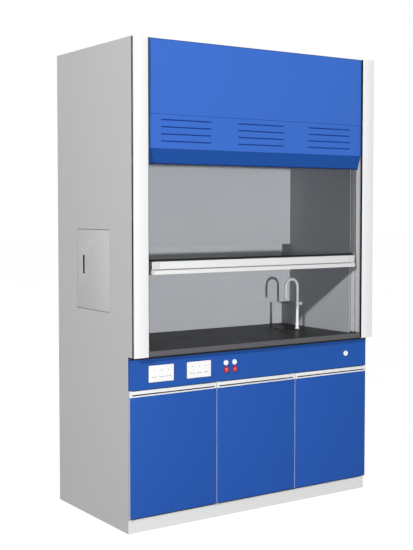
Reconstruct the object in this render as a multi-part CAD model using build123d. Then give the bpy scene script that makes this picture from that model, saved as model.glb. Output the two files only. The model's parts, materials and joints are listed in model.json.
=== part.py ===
from build123d import *
import os
from math import atan2, cos, sin, sqrt

# Steel bench fume hood, millimetres.
# X runs left to right, Y from the front to the rear, Z up.
# The origin is the bottom centre of the whole hood.

# Overall size
overall_width = 1500.0
overall_depth = 800.0
overall_height = 2350.0

# Stock thicknesses
sheet = 1.2
liner_board = 5.0
baffle_board = 6.0
seat_gap = 0.2
slide_gap = 1.0

# Front posts and the shadow reveal behind them
post_width = 78.0
post_depth = 11.0
post_wall = 1.5
reveal_depth = 15.0
stem_inner_inset = 28.0
stem_outer_inset = 14.0

# Base cabinet
plinth_height = 65.0
carcass_setback = 66.0
base_tube = 25.0
floor_tray_height = 12.0
divider_width = 18.0
divider_skin = 1.0
door_bottom = 75.0
door_top = 657.0
door_thickness = 14.0
door_gap = 4.0
door_edge_gap = 1.0
door_back_gap = 2.0
door_return = 20.0
handle_height = 29.0
handle_proud = 2.5
handle_groove_height = 6.0
handle_groove_depth = 10.0
handle_groove_inset = 12.0
handle_groove_drop = 16.0
pivot_edge_inset = 5.0
pivot_back_inset = 10.0
pivot_pin_radius = 3.0
pivot_pin_length = 10.0
pivot_block_width = 22.0
pivot_block_height = 26.0
pivot_plate = 2.0
pivot_plate_width = 15.0
running_clearance = 0.05

# Levelling feet
foot_radius = 16.0
foot_height = 9.0
foot_stud_radius = 6.0
foot_inset_x = 60.0

# Service panel and its fittings
panel_bottom = 690.0
panel_top = 842.0
panel_return = 18.0
socket_width = 140.0
socket_height = 81.0
socket_plate = 6.0
socket_centre_z = 761.5
socket_side_inset = 174.0
socket_spacing = 217.5
socket_box_margin = 7.0
socket_box_depth = 42.0
socket_frame_rim = 9.0
socket_pin_slot = 9.0
index_disc_radius = 13.5
index_disc_thickness = 6.0
index_disc_z = 780.0
gas_knob_side_inset = 555.0
gas_knob_spacing = 52.5
gas_knob_z = 747.5
gas_knob_radius = 10.5
gas_knob_foot_radius = 14.5
gas_knob_foot_drop = 4.5
gas_knob_length = 14.0
water_knob_side_inset = 152.0
water_knob_z = 766.0
water_knob_radius = 14.0
water_knob_length = 9.0
knob_standoff = 1.5
spindle_radius = 4.0
spindle_length = 34.0
valve_body_side = 30.0
valve_body_depth = 50.0
valve_port_inset = 14.0
valve_port_radius = 7.0
valve_port_length = 26.0

# Worktop
worktop_top = 878.0
worktop_thickness = 28.0
worktop_front_setback = 5.0
worktop_side_gap = 1.0
worktop_corner_radius = 8.0
dish_depth = 8.0
dish_front_rim = 25.0
dish_wall_gap = 0.5
worktop_rear_setback = 40.0

# Cup sink, trap and tap
sink_rear_gap = 279.0
sink_width = 100.0
sink_length = 180.0
sink_rim = 8.0
sink_rim_height = 3.0
sink_depth = 120.0
sink_wall = 3.0
sink_outlet_radius = 20.0
sink_outlet_length = 60.0
trap_radius = 32.0
trap_height = 130.0
trap_overlap = 30.0
trap_wall = 3.0
trap_arm_length = 110.0
trap_collar_radius = 25.0
trap_collar_length = 6.0
trap_arm_drop = 38.0
tap_wall_gap = 107.0
tap_flange_radius = 13.0
tap_flange_height = 4.0
tap_body_radius = 8.6
tap_body_height = 36.0
tap_shank_radius = 10.0
tap_shank_length = 75.0
tap_nut_radius = 18.0
tap_nut_height = 9.0
spout_radius = 7.5
spout_reach = 84.0
spout_bend_z = 1110.0
spout_end_z = 1042.0
spout_tip_radius = 8.2
spout_tip_length = 14.0
spout_stub_radius = 6.0
spout_stub_length = 30.0
spout_bore_radius = 5.0

# Gas nozzle on the right liner
nozzle_rear_gap = 183.0
nozzle_z = 1000.0
nozzle_flange_radius = 10.5
nozzle_flange_height = 2.5
nozzle_stem_radius = 6.5
nozzle_stem_length = 8.0
nozzle_ball_radius = 10.0
nozzle_tip_length = 28.0
nozzle_tip_radius = 4.5
nozzle_barb_count = 3
nozzle_nut_radius = 13.0
nozzle_nut_height = 6.0

# Sash, its tracks and its counterbalance
track_setback = 12.0
track_flange = 27.0
track_groove = 12.0
track_width = 24.0
track_groove_depth = 18.0
track_wall = 2.0
glass_thickness = 6.0
glass_slot_gap = 0.3
sash_rest_z = 1237.0
sash_head_drop = 201.0
sash_top_rail = 24.0
stile_width = 14.0
stile_thickness = 10.0
stile_slot_depth = 8.0
handle_bar_height = 62.0
handle_bar_front = 26.0
handle_bar_back = 12.0
handle_bar_wall = 2.0
handle_bar_groove_z = 20.0
handle_bar_groove = 5.5
handle_bar_end_gap = 26.0
handle_bar_step = 5.0
end_cap_upper = 45.0
end_cap_lower = 20.0
glass_seat = 8.0
pulley_radius = 22.0
pulley_flange = 3.0
pulley_width = 11.0
pulley_cheek = 2.5
pulley_track_gap = 6.0
pulley_axle_radius = 4.0
pulley_drop = 95.0
pulley_bracket_plate = 3.0
pulley_bracket_gap = 1.0
pulley_bracket_width = 30.0
cable_radius = 1.5
cable_groove_gap = 0.3
cable_top_x_inset = 8.0
weight_width = 40.0
weight_depth = 44.0
weight_head_drop = 512.0
aluminium_density = 2.7e-6
glass_density = 2.5e-6
plastic_density = 1.1e-6
steel_density = 7.85e-6

# Fascia and its louvres
fascia_setback = 17.0
fascia_foot_setback = 38.0
fascia_height = 514.0
fascia_chamfer_height = 68.0
fascia_lip = 4.0
fascia_seam_rise = 161.0
fascia_seam = 1.5
fascia_seam_depth = 0.5
louvre_end_margin = 79.0
louvre_group_gap = 164.0
louvre_columns = 3
louvre_rows = 4
louvre_top_rise = 136.0
louvre_pitch = 33.7
louvre_slot = 7.0
louvre_proud = 3.0
louvre_skin = 1.0

# Chamber
liner_inset = 8.0
liner_rear_cavity = 110.0
liner_roof_drop = 120.0
liner_roof_front_gap = 8.0
rear_seam_inset = 81.0
rear_seam = 2.0
rear_seam_depth = 1.0
plenum_depth = 70.0
baffle_middle_bottom = 1007.0
baffle_middle_top = 1250.0
baffle_upper_bottom = 1345.0
baffle_bend_drop = 418.0
baffle_lean_reach = 254.0
baffle_head_gap = 40.0
baffle_lip = 10.0
spacer_radius = 10.0
spacer_inset = 104.0
spacer_edge = 20.0

# Roof, exhaust collar and lamp
roof_drop = 60.0
roof_front_setback = 34.0
collar_radius = 125.0
collar_wall = 1.5
collar_rear_gap = 170.0
collar_flange = 25.0
collar_flange_height = 3.0
collar_hole_gap = 0.5
lamp_end_gap = 64.0
lamp_width = 120.0
lamp_height = 48.0
lamp_front_gap = 15.0
lamp_window_margin = 12.0
lamp_diffuser_height = 4.0
lamp_tube_radius = 13.0
lamp_tube_end_gap = 25.0
lamp_holder_width = 12.0

# Frame tubes of the upper part
frame_tube = 30.0
frame_wall = 2.0
front_upright_setback = 95.0
front_upright_inset = 16.0
rear_upright_inset = 5.0

# Service hatches in the side panels
hatch_rear_gap = 221.0
hatch_width = 334.0
hatch_bottom = 1048.0
hatch_top = 1447.0
hatch_gap = 2.3
hatch_pull_inset = 69.0
hatch_pull_bottom = 1224.0
hatch_pull_top = 1318.0
hatch_pull_width = 18.0
hatch_pull_depth = 14.0
hatch_pin_radius = 1.5
hatch_pin_inset = 3.0
hatch_pin_depth = 4.0
hatch_lug_height = 6.0
hatch_lug_length = 7.0
hatch_tab = 2.0
hatch_tab_length = 14.0

# Screws in the rear panel
screw_head_radius = 4.5
screw_head_height = 2.2
screw_shank_radius = 2.0
screw_shank_length = 8.0
screw_rows = 8
screw_end_margin = 90.0
rear_panel_setback = 3.0
rear_panel_bottom = 30.0

# Places worked out from the sizes above
half_width = overall_width / 2
front_y = -overall_depth / 2
rear_y = overall_depth / 2
post_inner_x = half_width - post_width
post_back_y = front_y + post_depth
side_front_y = post_back_y + reveal_depth
side_inner_x = half_width - sheet
carcass_front_y = front_y + carcass_setback
rear_panel_y = rear_y - rear_panel_setback
rear_inner_y = rear_panel_y - sheet
base_top = worktop_top - worktop_thickness
dish_z = worktop_top - dish_depth
track_front_y = post_back_y + track_setback
groove_front_y = track_front_y + track_flange
groove_rear_y = groove_front_y + track_groove
sash_y = (groove_front_y + groove_rear_y) / 2
track_rear_y = groove_rear_y + track_flange
track_outer_x = post_inner_x + track_width
groove_end_x = post_inner_x + track_groove_depth
liner_x = post_inner_x - liner_inset
liner_outer_x = liner_x + liner_board
liner_rear_y = rear_y - liner_rear_cavity
liner_roof_z = overall_height - liner_roof_drop
rear_seam_x = liner_x - rear_seam_inset
spacer_x = liner_x - spacer_inset
baffle_back_y = liner_rear_y - plenum_depth
baffle_front_y = baffle_back_y - baffle_board
baffle_head_y = baffle_front_y - baffle_lean_reach
baffle_bend_z = liner_roof_z - baffle_bend_drop
tap_x = liner_x - tap_wall_gap
sink_x = tap_x - spout_reach
sink_y = liner_rear_y - sink_rear_gap
tap_y = sink_y
nozzle_y = liner_rear_y - nozzle_rear_gap
collar_y = liner_rear_y - collar_rear_gap
lamp_length = 2 * (liner_x - lamp_end_gap)
lamp_y = front_y + front_upright_setback + frame_tube + lamp_front_gap + lamp_width / 2
roof_top_z = overall_height - roof_drop
roof_under_z = roof_top_z - sheet
roof_front_y = front_y + roof_front_setback
fascia_y = front_y + fascia_setback
fascia_foot_y = front_y + fascia_foot_setback
fascia_fold_z = overall_height - fascia_height
fascia_foot_z = fascia_fold_z - fascia_chamfer_height
fascia_seam_z = fascia_fold_z + fascia_seam_rise
louvre_top_z = fascia_fold_z + louvre_top_rise
louvre_gaps = 2 * louvre_end_margin + (louvre_columns - 1) * louvre_group_gap
louvre_length = (2 * post_inner_x - louvre_gaps) / louvre_columns
louvre_spacing_x = louvre_length + louvre_group_gap
stem_inner_x = post_inner_x + stem_inner_inset
stem_outer_x = half_width - stem_outer_inset
door_back_y = carcass_front_y - door_back_gap
door_front_y = door_back_y - door_thickness
pivot_y = door_back_y - pivot_back_inset
panel_front_y = door_front_y
panel_back_y = panel_front_y + sheet
divider_front_y = panel_front_y + panel_return
socket_left_x = -half_width + socket_side_inset
socket_right_x = socket_left_x + socket_spacing
gas_knob_left_x = -half_width + gas_knob_side_inset
gas_knob_right_x = gas_knob_left_x + gas_knob_spacing
water_knob_x = half_width - water_knob_side_inset
floor_bottom = plinth_height
floor_top = floor_bottom + floor_tray_height
base_rail_y = carcass_front_y + sheet + base_tube / 3
worktop_rear_y = rear_y - worktop_rear_setback
stile_outer_x = groove_end_x - slide_gap * 2
stile_inner_x = stile_outer_x - stile_width
sash_top_z = overall_height - sash_head_drop
pulley_z = overall_height - pulley_drop
weight_top_rest = overall_height - weight_head_drop
hatch_rear_y = rear_y - hatch_rear_gap
hatch_front_y = hatch_rear_y - hatch_width
hatch_pull_y = hatch_rear_y - hatch_pull_inset
track_top_z = pulley_z - pulley_radius - pulley_flange - pulley_track_gap
cable_x = groove_end_x - cable_top_x_inset - slide_gap * 2
pulley_x = cable_x + pulley_radius
weight_x = pulley_x + pulley_radius
upright_outer_x = side_inner_x - front_upright_inset
door_edges = [-half_width + door_edge_gap, -half_width / 3, half_width / 3, half_width - door_edge_gap]


def block(x0, x1, y0, y1, z0, z1):
    """A box given by its two corners."""
    return Pos((x0 + x1) / 2, (y0 + y1) / 2, (z0 + z1) / 2) * Box(x1 - x0, y1 - y0, z1 - z0)


def round_z(x, y, z0, z1, radius):
    """An upright round bar."""
    return Pos(x, y, (z0 + z1) / 2) * Cylinder(radius, z1 - z0)


def round_y(x, z, y0, y1, radius):
    """A round bar that runs from front to rear."""
    return Pos(x, (y0 + y1) / 2, z) * Rot(90, 0, 0) * Cylinder(radius, y1 - y0)


def round_x(y, z, x0, x1, radius):
    """A round bar that runs from left to right."""
    return Pos((x0 + x1) / 2, y, z) * Rot(0, 90, 0) * Cylinder(radius, x1 - x0)


def profile_x(points, x0, x1):
    """A bar from x0 to x1 whose outline is given as (y, z) points."""
    face = make_face(Polyline(*[(x0, y, z) for y, z in points], close=True))
    return extrude(face, amount=x1 - x0, dir=(1, 0, 0))


def tube(x0, x1, y0, y1, z0, z1, wall, along):
    """A square tube, open at both ends along the named axis."""
    inner = {"x": (0, wall, wall), "y": (wall, 0, wall), "z": (wall, wall, 0)}[along]
    hollow = block(x0 + inner[0], x1 - inner[0], y0 + inner[1], y1 - inner[1], z0 + inner[2], z1 - inner[2])
    return block(x0, x1, y0, y1, z0, z1) - hollow


def mirrored(shape):
    """The same piece on the other side of the hood."""
    return mirror(shape, about=Plane.YZ)


def oval_z(x, y, z0, z1, width, length):
    """An upright bar with an oval outline, long in Y."""
    straight = length - width
    middle = block(x - width / 2, x + width / 2, y - straight / 2, y + straight / 2, z0, z1)
    ends = [round_z(x, y + side * straight / 2, z0, z1, width / 2) for side in (-1, 1)]
    return middle + ends[0] + ends[1]


def side_panel():
    """Right outer side with its front fold and the opening for the service hatch."""
    skin = block(side_inner_x, half_width, side_front_y, rear_y, base_top, overall_height)
    skin += block(side_inner_x, half_width, carcass_front_y, rear_y, 0, base_top)
    fold_inner_x = track_outer_x + slide_gap * 2
    skin += block(fold_inner_x, side_inner_x, side_front_y, side_front_y + sheet, worktop_top, overall_height)
    skin -= block(
        side_inner_x - slide_gap,
        half_width + slide_gap,
        hatch_front_y - hatch_gap,
        hatch_rear_y + hatch_gap,
        hatch_bottom - hatch_gap,
        hatch_top + hatch_gap,
    )
    pin_x = half_width - hatch_pin_depth
    pin_y = hatch_front_y + hatch_pin_inset
    for edge_z, inward in ((hatch_bottom - hatch_gap, 1), (hatch_top + hatch_gap, -1)):
        tab_z = edge_z - inward * hatch_tab
        tab = block(
            pin_x - hatch_lug_length / 2,
            side_inner_x,
            pin_y - hatch_tab_length / 2,
            pin_y + hatch_tab_length / 2,
            min(edge_z, tab_z),
            max(edge_z, tab_z),
        )
        pin_end = edge_z + inward * (hatch_gap + slide_gap + hatch_lug_height)
        pin = round_z(pin_x, pin_y, min(edge_z, pin_end), max(edge_z, pin_end), hatch_pin_radius)
        skin += tab + pin
    return skin


def service_hatch():
    """Hinged hatch of the right side panel, with a recessed finger pull."""
    plate = block(side_inner_x, half_width, hatch_front_y, hatch_rear_y, hatch_bottom, hatch_top)
    cup_inner_x = half_width - hatch_pull_depth
    pull_y0 = hatch_pull_y - hatch_pull_width / 2
    pull_y1 = hatch_pull_y + hatch_pull_width / 2
    cup = block(
        cup_inner_x - sheet,
        side_inner_x,
        pull_y0 - sheet,
        pull_y1 + sheet,
        hatch_pull_bottom - sheet,
        hatch_pull_top + sheet,
    )
    plate += cup
    plate -= block(cup_inner_x, half_width + sheet, pull_y0, pull_y1, hatch_pull_bottom, hatch_pull_top)
    pin_x = half_width - hatch_pin_depth
    pin_y = hatch_front_y + hatch_pin_inset
    for lug_z in (hatch_bottom + slide_gap, hatch_top - slide_gap - hatch_lug_height):
        lug = block(
            pin_x - hatch_lug_length / 2,
            side_inner_x,
            hatch_front_y,
            pin_y + hatch_lug_length / 2,
            lug_z,
            lug_z + hatch_lug_height,
        )
        bore = round_z(
            pin_x,
            pin_y,
            lug_z - slide_gap,
            lug_z + hatch_lug_height + slide_gap,
            hatch_pin_radius + running_clearance,
        )
        plate += lug
        plate -= bore
    return plate


def rear_panel():
    """Flat back of the hood, clear of the rear feet, with its screw holes."""
    panel = block(-side_inner_x, side_inner_x, rear_inner_y, rear_panel_y, rear_panel_bottom, roof_under_z)
    for x, z in screw_places():
        panel -= round_y(x, z, rear_inner_y - sheet, rear_y, screw_shank_radius + running_clearance)
    return panel


def screw_places():
    """Places of the rear panel's screws, up both rear uprights."""
    span = roof_under_z - floor_top - 2 * screw_end_margin
    heights = [floor_top + screw_end_margin + span * row / (screw_rows - 1) for row in range(screw_rows)]
    screw_x = side_inner_x - rear_upright_inset - frame_tube / 2
    return [(side * screw_x, z) for side in (-1, 1) for z in heights]


def rear_panel_screws():
    """Pan-head screws that hold the rear panel to the uprights."""
    screws = []
    for x, z in screw_places():
        head = round_y(x, z, rear_panel_y, rear_panel_y + screw_head_height, screw_head_radius)
        shank = round_y(x, z, rear_panel_y - screw_shank_length, rear_panel_y, screw_shank_radius)
        screws.append(head + shank)
    return Compound(children=screws)


def roof_panel():
    """Sunk roof with an upturned front fold and a hole for the exhaust collar."""
    panel = block(-side_inner_x, side_inner_x, roof_front_y, rear_panel_y, roof_under_z, roof_top_z)
    fold_top = overall_height - sheet
    panel += block(-post_inner_x, post_inner_x, roof_front_y, roof_front_y + sheet, roof_top_z, fold_top)
    hole_radius = collar_radius + collar_hole_gap
    panel -= round_z(0, collar_y, roof_under_z - sheet, roof_top_z + sheet, hole_radius)
    return panel


def exhaust_collar():
    """Round duct collar with a flange that rests on the roof."""
    flange_top = roof_top_z + collar_flange_height
    collar = round_z(0, collar_y, liner_roof_z, overall_height, collar_radius)
    collar += round_z(0, collar_y, roof_top_z, flange_top, collar_radius + collar_flange)
    collar -= round_z(0, collar_y, liner_roof_z - sheet, overall_height + sheet, collar_radius - collar_wall)
    return collar


def post():
    """Right front post, a hollow section with a stem that makes the shadow reveal."""
    face = tube(post_inner_x, half_width, front_y, post_back_y, base_top, overall_height, post_wall, "z")
    stem = tube(stem_inner_x, stem_outer_x, post_back_y, side_front_y, base_top, overall_height, post_wall, "z")
    return face + stem


def fascia_panel():
    """Front fascia: upright sheet, a chamfer back to its foot, folds and pressed louvres."""
    back = fascia_y + sheet
    upright = block(-stem_inner_x, stem_inner_x, fascia_y, back, fascia_fold_z, overall_height)
    slope = atan2(fascia_foot_y - fascia_y, fascia_fold_z - fascia_foot_z)
    shift_y = sheet * cos(slope)
    shift_z = sheet * sin(slope)
    foot_width = post_inner_x - slide_gap
    chamfer_points = [
        (fascia_y, fascia_fold_z),
        (fascia_foot_y, fascia_foot_z),
        (fascia_foot_y + fascia_lip, fascia_foot_z),
        (fascia_foot_y + fascia_lip, fascia_foot_z + sheet),
        (fascia_foot_y + shift_y, fascia_foot_z + sheet),
        (back, fascia_fold_z + shift_z),
        (fascia_y, fascia_fold_z + shift_z),
    ]
    panel = upright + profile_x(chamfer_points, -foot_width, foot_width)
    panel += block(-post_inner_x, post_inner_x, back, roof_front_y + sheet, overall_height - sheet, overall_height)
    for side in (-1, 1):
        inner_x = side * (stem_inner_x - sheet)
        outer_x = side * stem_inner_x
        low, high = sorted((inner_x, outer_x))
        panel += block(low, high, back, side_front_y, fascia_fold_z + track_flange, overall_height)
    panel -= block(
        -post_inner_x,
        post_inner_x,
        fascia_y - slide_gap,
        fascia_y + fascia_seam_depth,
        fascia_seam_z,
        fascia_seam_z + fascia_seam,
    )
    for x in louvre_columns_x():
        for row in range(louvre_rows):
            panel = add_louvre(panel, x, louvre_top_z - row * louvre_pitch)
    return panel


def louvre_columns_x():
    """Centres of the louvre groups."""
    middle = (louvre_columns - 1) / 2
    return [(column - middle) * louvre_spacing_x for column in range(louvre_columns)]


def add_louvre(panel, x, z):
    """One pressed louvre: an open slot under a lip that leans outwards."""
    x0 = x - louvre_length / 2
    x1 = x + louvre_length / 2
    panel -= block(x0, x1, fascia_y - slide_gap, fascia_y + 2 * sheet, z - louvre_slot / 2, z + louvre_slot / 2)
    foot = z + louvre_slot / 2 - louvre_skin
    top = foot + louvre_slot
    lip = profile_x(
        [
            (fascia_y, top),
            (fascia_y - louvre_proud, foot + louvre_skin),
            (fascia_y - louvre_proud, foot),
            (fascia_y - louvre_proud + louvre_skin, foot),
            (fascia_y + sheet, top - louvre_skin * 2),
            (fascia_y + sheet, top),
        ],
        x0,
        x1,
    )
    return panel + lip


def sash_track():
    """Right sash track, an extruded section with a groove for the sash's edge."""
    track = block(post_inner_x, track_outer_x, track_front_y, track_rear_y, worktop_top, track_top_z)
    track -= block(
        post_inner_x - slide_gap,
        groove_end_x,
        groove_front_y,
        groove_rear_y,
        worktop_top - slide_gap,
        track_top_z + slide_gap,
    )
    for y0, y1 in ((track_front_y, groove_front_y), (groove_rear_y, track_rear_y)):
        track -= block(
            post_inner_x + track_wall,
            track_outer_x - track_wall,
            y0 + track_wall,
            y1 - track_wall,
            worktop_top - slide_gap,
            track_top_z + slide_gap,
        )
    return track


def upper_frame():
    """Tubes of the upper part: four uprights and the rails between their heads."""
    tubes = []
    front_y0 = front_y + front_upright_setback
    front_y1 = front_y0 + frame_tube
    rear_y1 = rear_inner_y
    rear_y0 = rear_y1 - frame_tube
    rail_z = roof_under_z - frame_tube
    for side in (-1, 1):
        outer = side * upright_outer_x
        low, high = sorted((outer, outer - side * frame_tube))
        rear_outer = side * (side_inner_x - rear_upright_inset)
        rear_low, rear_high = sorted((rear_outer, rear_outer - side * frame_tube))
        tubes.append(tube(low, high, front_y0, front_y1, worktop_top, roof_under_z, frame_wall, "z"))
        tubes.append(tube(rear_low, rear_high, rear_y0, rear_y1, floor_bottom, roof_under_z, frame_wall, "z"))
        tubes.append(tube(low, high, front_y1, rear_y0, rail_z, roof_under_z, frame_wall, "y"))
    front_end = upright_outer_x - frame_tube
    rear_end = side_inner_x - rear_upright_inset - frame_tube
    tubes.append(tube(-front_end, front_end, front_y0, front_y1, rail_z, roof_under_z, frame_wall, "x"))
    tubes.append(tube(-rear_end, rear_end, rear_y0, rear_y1, rail_z, roof_under_z, frame_wall, "x"))
    holes = [
        round_y(x, z, rear_y1 - 2 * frame_wall, rear_y1 + sheet, screw_shank_radius + running_clearance)
        for x, z in screw_places()
    ]
    return Compound(children=[piece.cut(*holes) for piece in tubes])


def side_liner():
    """Right inner wall of the chamber, standing in the dished worktop."""
    liner = block(liner_x, liner_outer_x, track_rear_y, liner_rear_y, dish_z, liner_roof_z)
    return liner


def right_liner():
    """The right liner has the hole for the gas nozzle's shank."""
    shank_hole = round_x(nozzle_y, nozzle_z, liner_x - sheet, liner_outer_x + sheet, nozzle_stem_radius + seat_gap)
    return side_liner() - shank_hole


def rear_liner():
    """Rear wall of the chamber, with the seams of its removable middle strip."""
    liner = block(-liner_outer_x, liner_outer_x, liner_rear_y, liner_rear_y + liner_board, dish_z, liner_roof_z)
    for side in (-1, 1):
        seam_x = side * rear_seam_x
        liner -= block(
            seam_x - rear_seam / 2,
            seam_x + rear_seam / 2,
            liner_rear_y - slide_gap,
            liner_rear_y + rear_seam_depth,
            dish_z - slide_gap,
            baffle_middle_bottom,
        )
    return liner


def roof_liner():
    """Ceiling of the chamber with the collar's hole and the lamp's window."""
    front = groove_rear_y + liner_roof_front_gap
    rear = liner_rear_y + liner_board
    top = liner_roof_z + liner_board
    liner = block(-liner_outer_x, liner_outer_x, front, rear, liner_roof_z, top)
    liner -= round_z(0, collar_y, liner_roof_z - sheet, top + sheet, collar_radius + collar_hole_gap)
    window_x = lamp_length / 2 - lamp_window_margin
    window_y = lamp_width / 2 - lamp_window_margin
    liner -= block(-window_x, window_x, lamp_y - window_y, lamp_y + window_y, liner_roof_z - sheet, top + sheet)
    return liner


def upper_baffle():
    """Upper baffle: upright to its bend, then leaning forward over the chamber."""
    head_z = liner_roof_z - baffle_head_gap
    lean = atan2(baffle_front_y - baffle_head_y, head_z - baffle_bend_z)
    half_step = baffle_board * (1 - sin(lean / 2) / cos(lean / 2))
    points = [
        (baffle_front_y, baffle_upper_bottom),
        (baffle_back_y, baffle_upper_bottom),
        (baffle_back_y, baffle_bend_z + baffle_board - half_step),
        (baffle_head_y + baffle_board * cos(lean), head_z + baffle_board * sin(lean)),
        (baffle_head_y, head_z),
        (baffle_front_y, baffle_bend_z),
    ]
    return profile_x(points, -liner_x, liner_x)


def middle_baffle():
    """Middle baffle, a flat board with a thin lip along its foot."""
    board = block(-liner_x, liner_x, baffle_front_y, baffle_back_y, baffle_middle_bottom, baffle_middle_top)
    lip_top = baffle_middle_bottom + baffle_lip
    lip_y = baffle_front_y - baffle_board / 3
    return board + block(-liner_x, liner_x, lip_y, baffle_front_y, baffle_middle_bottom, lip_top)


def baffle_spacers():
    """Round spacers that hold both baffles off the rear wall."""
    heights = [
        baffle_middle_bottom + spacer_edge,
        baffle_middle_top - spacer_edge,
        baffle_upper_bottom + spacer_edge,
        baffle_bend_z - spacer_edge,
    ]
    spacers = [
        round_y(side * spacer_x, z, baffle_back_y, liner_rear_y, spacer_radius)
        for side in (-1, 1)
        for z in heights
    ]
    return Compound(children=spacers)


def lamp_housing():
    """Tray over the lamp window, open downwards."""
    bottom = liner_roof_z + liner_board
    half = lamp_length / 2
    side = lamp_width / 2
    tray = block(-half, half, lamp_y - side, lamp_y + side, bottom, bottom + lamp_height)
    tray -= block(
        -half + sheet,
        half - sheet,
        lamp_y - side + sheet,
        lamp_y + side - sheet,
        bottom - sheet,
        bottom + lamp_height - sheet,
    )
    return tray


def lamp_diffuser():
    """Diffuser plate, lying on the ceiling inside the lamp tray."""
    bottom = liner_roof_z + liner_board
    half = lamp_length / 2 - sheet - seat_gap
    side = lamp_width / 2 - sheet - seat_gap
    return block(-half, half, lamp_y - side, lamp_y + side, bottom, bottom + lamp_diffuser_height)


def lamp_tube():
    """Fluorescent-pattern tube with a holder at each end."""
    ceiling = liner_roof_z + liner_board + lamp_height - sheet
    tube_z = ceiling - lamp_tube_radius * 1.2
    half = lamp_length / 2 - lamp_tube_end_gap
    lamp = round_x(lamp_y, tube_z, -half, half, lamp_tube_radius)
    for side in (-1, 1):
        low, high = sorted((side * half, side * (half - lamp_holder_width)))
        lamp += block(low, high, lamp_y - lamp_tube_radius, lamp_y + lamp_tube_radius, tube_z, ceiling)
    return lamp


def worktop():
    """Dished worktop with a front tongue between the posts and cut-outs for sink and tap."""
    tongue_x = post_inner_x - worktop_side_gap
    tongue_y = front_y + worktop_front_setback
    body_y = side_front_y + sheet
    tongue = block(-tongue_x, tongue_x, tongue_y, body_y, base_top, worktop_top)
    corners = tongue.edges().filter_by(Axis.Z).sort_by(Axis.Y)[:2]
    tongue = fillet(corners, worktop_corner_radius)
    top = tongue + block(-side_inner_x, side_inner_x, body_y, worktop_rear_y, base_top, worktop_top)
    dish_x = liner_outer_x + dish_wall_gap
    dish_rear = liner_rear_y + liner_board + dish_wall_gap
    top -= block(-dish_x, dish_x, tongue_y + dish_front_rim, dish_rear, dish_z, worktop_top + sheet)
    cut_width = sink_width - 2 * sink_rim + 2 * seat_gap
    cut_length = sink_length - 2 * sink_rim + 2 * seat_gap
    top -= oval_z(sink_x, sink_y, base_top - sheet, dish_z + sheet, cut_width, cut_length)
    top -= round_z(tap_x, tap_y, base_top - sheet, dish_z + sheet, tap_shank_radius + seat_gap)
    return top


def cup_sink():
    """Oval cup sink with a flange on the dish and an outlet pipe."""
    bowl_width = sink_width - 2 * sink_rim
    bowl_length = sink_length - 2 * sink_rim
    bowl_bottom = dish_z - sink_depth
    outlet_bottom = bowl_bottom - sink_outlet_length
    rim_top = dish_z + sink_rim_height
    sink = oval_z(sink_x, sink_y, dish_z, rim_top, sink_width, sink_length)
    sink += oval_z(sink_x, sink_y, bowl_bottom, dish_z, bowl_width, bowl_length)
    sink += round_z(sink_x, sink_y, outlet_bottom, bowl_bottom, sink_outlet_radius)
    inner_width = bowl_width - 2 * sink_wall
    inner_length = bowl_length - 2 * sink_wall
    sink -= oval_z(sink_x, sink_y, bowl_bottom + sink_wall, rim_top + sheet, inner_width, inner_length)
    sink -= round_z(sink_x, sink_y, outlet_bottom - sheet, bowl_bottom + 2 * sink_wall, sink_outlet_radius - sink_wall)
    return sink


def sink_trap():
    """Bottle trap under the sink with an outlet arm towards the rear."""
    pipe_bottom = dish_z - sink_depth - sink_outlet_length
    trap_top = pipe_bottom + trap_overlap
    trap_bottom = trap_top - trap_height
    arm_z = trap_top - trap_arm_drop
    arm_end = sink_y + trap_radius + trap_arm_length
    bottle = round_z(sink_x, sink_y, trap_bottom, trap_top, trap_radius)
    arm = round_y(sink_x, arm_z, sink_y, arm_end, sink_outlet_radius)
    arm += round_y(sink_x, arm_z, sink_y, sink_y + trap_radius + trap_collar_length, trap_collar_radius)
    arm_hole = round_y(sink_x, arm_z, sink_y, arm_end + sheet, sink_outlet_radius - trap_wall)
    inside = round_z(sink_x, sink_y, trap_bottom + trap_wall, trap_top - trap_wall, trap_radius - trap_wall)
    neck_hole = round_z(sink_x, sink_y, trap_top - 2 * trap_wall, trap_top + sheet, sink_outlet_radius + seat_gap)
    return bottle + arm - inside - arm_hole - neck_hole


def tap_base():
    """Tap pillar with its flange, shank and fixing nut."""
    top = dish_z + tap_body_height
    shank_end = base_top - tap_shank_length + worktop_thickness
    base = round_z(tap_x, tap_y, dish_z, dish_z + tap_flange_height, tap_flange_radius)
    base += round_z(tap_x, tap_y, dish_z, top, tap_body_radius)
    base += round_z(tap_x, tap_y, shank_end, dish_z, tap_shank_radius)
    base += round_z(tap_x, tap_y, base_top - tap_nut_height, base_top, tap_nut_radius)
    bore_bottom = top - spout_stub_length - slide_gap
    base -= round_z(tap_x, tap_y, bore_bottom, top + sheet, spout_stub_radius + running_clearance)
    return base


def tap_spout():
    """Gooseneck spout: up, over in a half circle and down to its tip."""
    bend_radius = spout_reach / 2
    foot_z = dish_z + tap_body_height + seat_gap * 2
    end_x = tap_x - spout_reach
    up = Line((tap_x, tap_y, foot_z), (tap_x, tap_y, spout_bend_z))
    over = ThreePointArc(
        (tap_x, tap_y, spout_bend_z),
        (tap_x - bend_radius, tap_y, spout_bend_z + bend_radius),
        (end_x, tap_y, spout_bend_z),
    )
    down = Line((end_x, tap_y, spout_bend_z), (end_x, tap_y, spout_end_z))
    route = Wire([up, over, down])
    outer = sweep(Pos(tap_x, tap_y, foot_z) * Circle(spout_radius), path=route)
    tip = round_z(end_x, tap_y, spout_end_z, spout_end_z + spout_tip_length, spout_tip_radius)
    stub = round_z(tap_x, tap_y, foot_z - spout_stub_length, foot_z, spout_stub_radius)
    spout = outer + tip + stub
    mouth = round_z(end_x, tap_y, spout_end_z - sheet, spout_bend_z, spout_bore_radius)
    return spout - mouth


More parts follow.
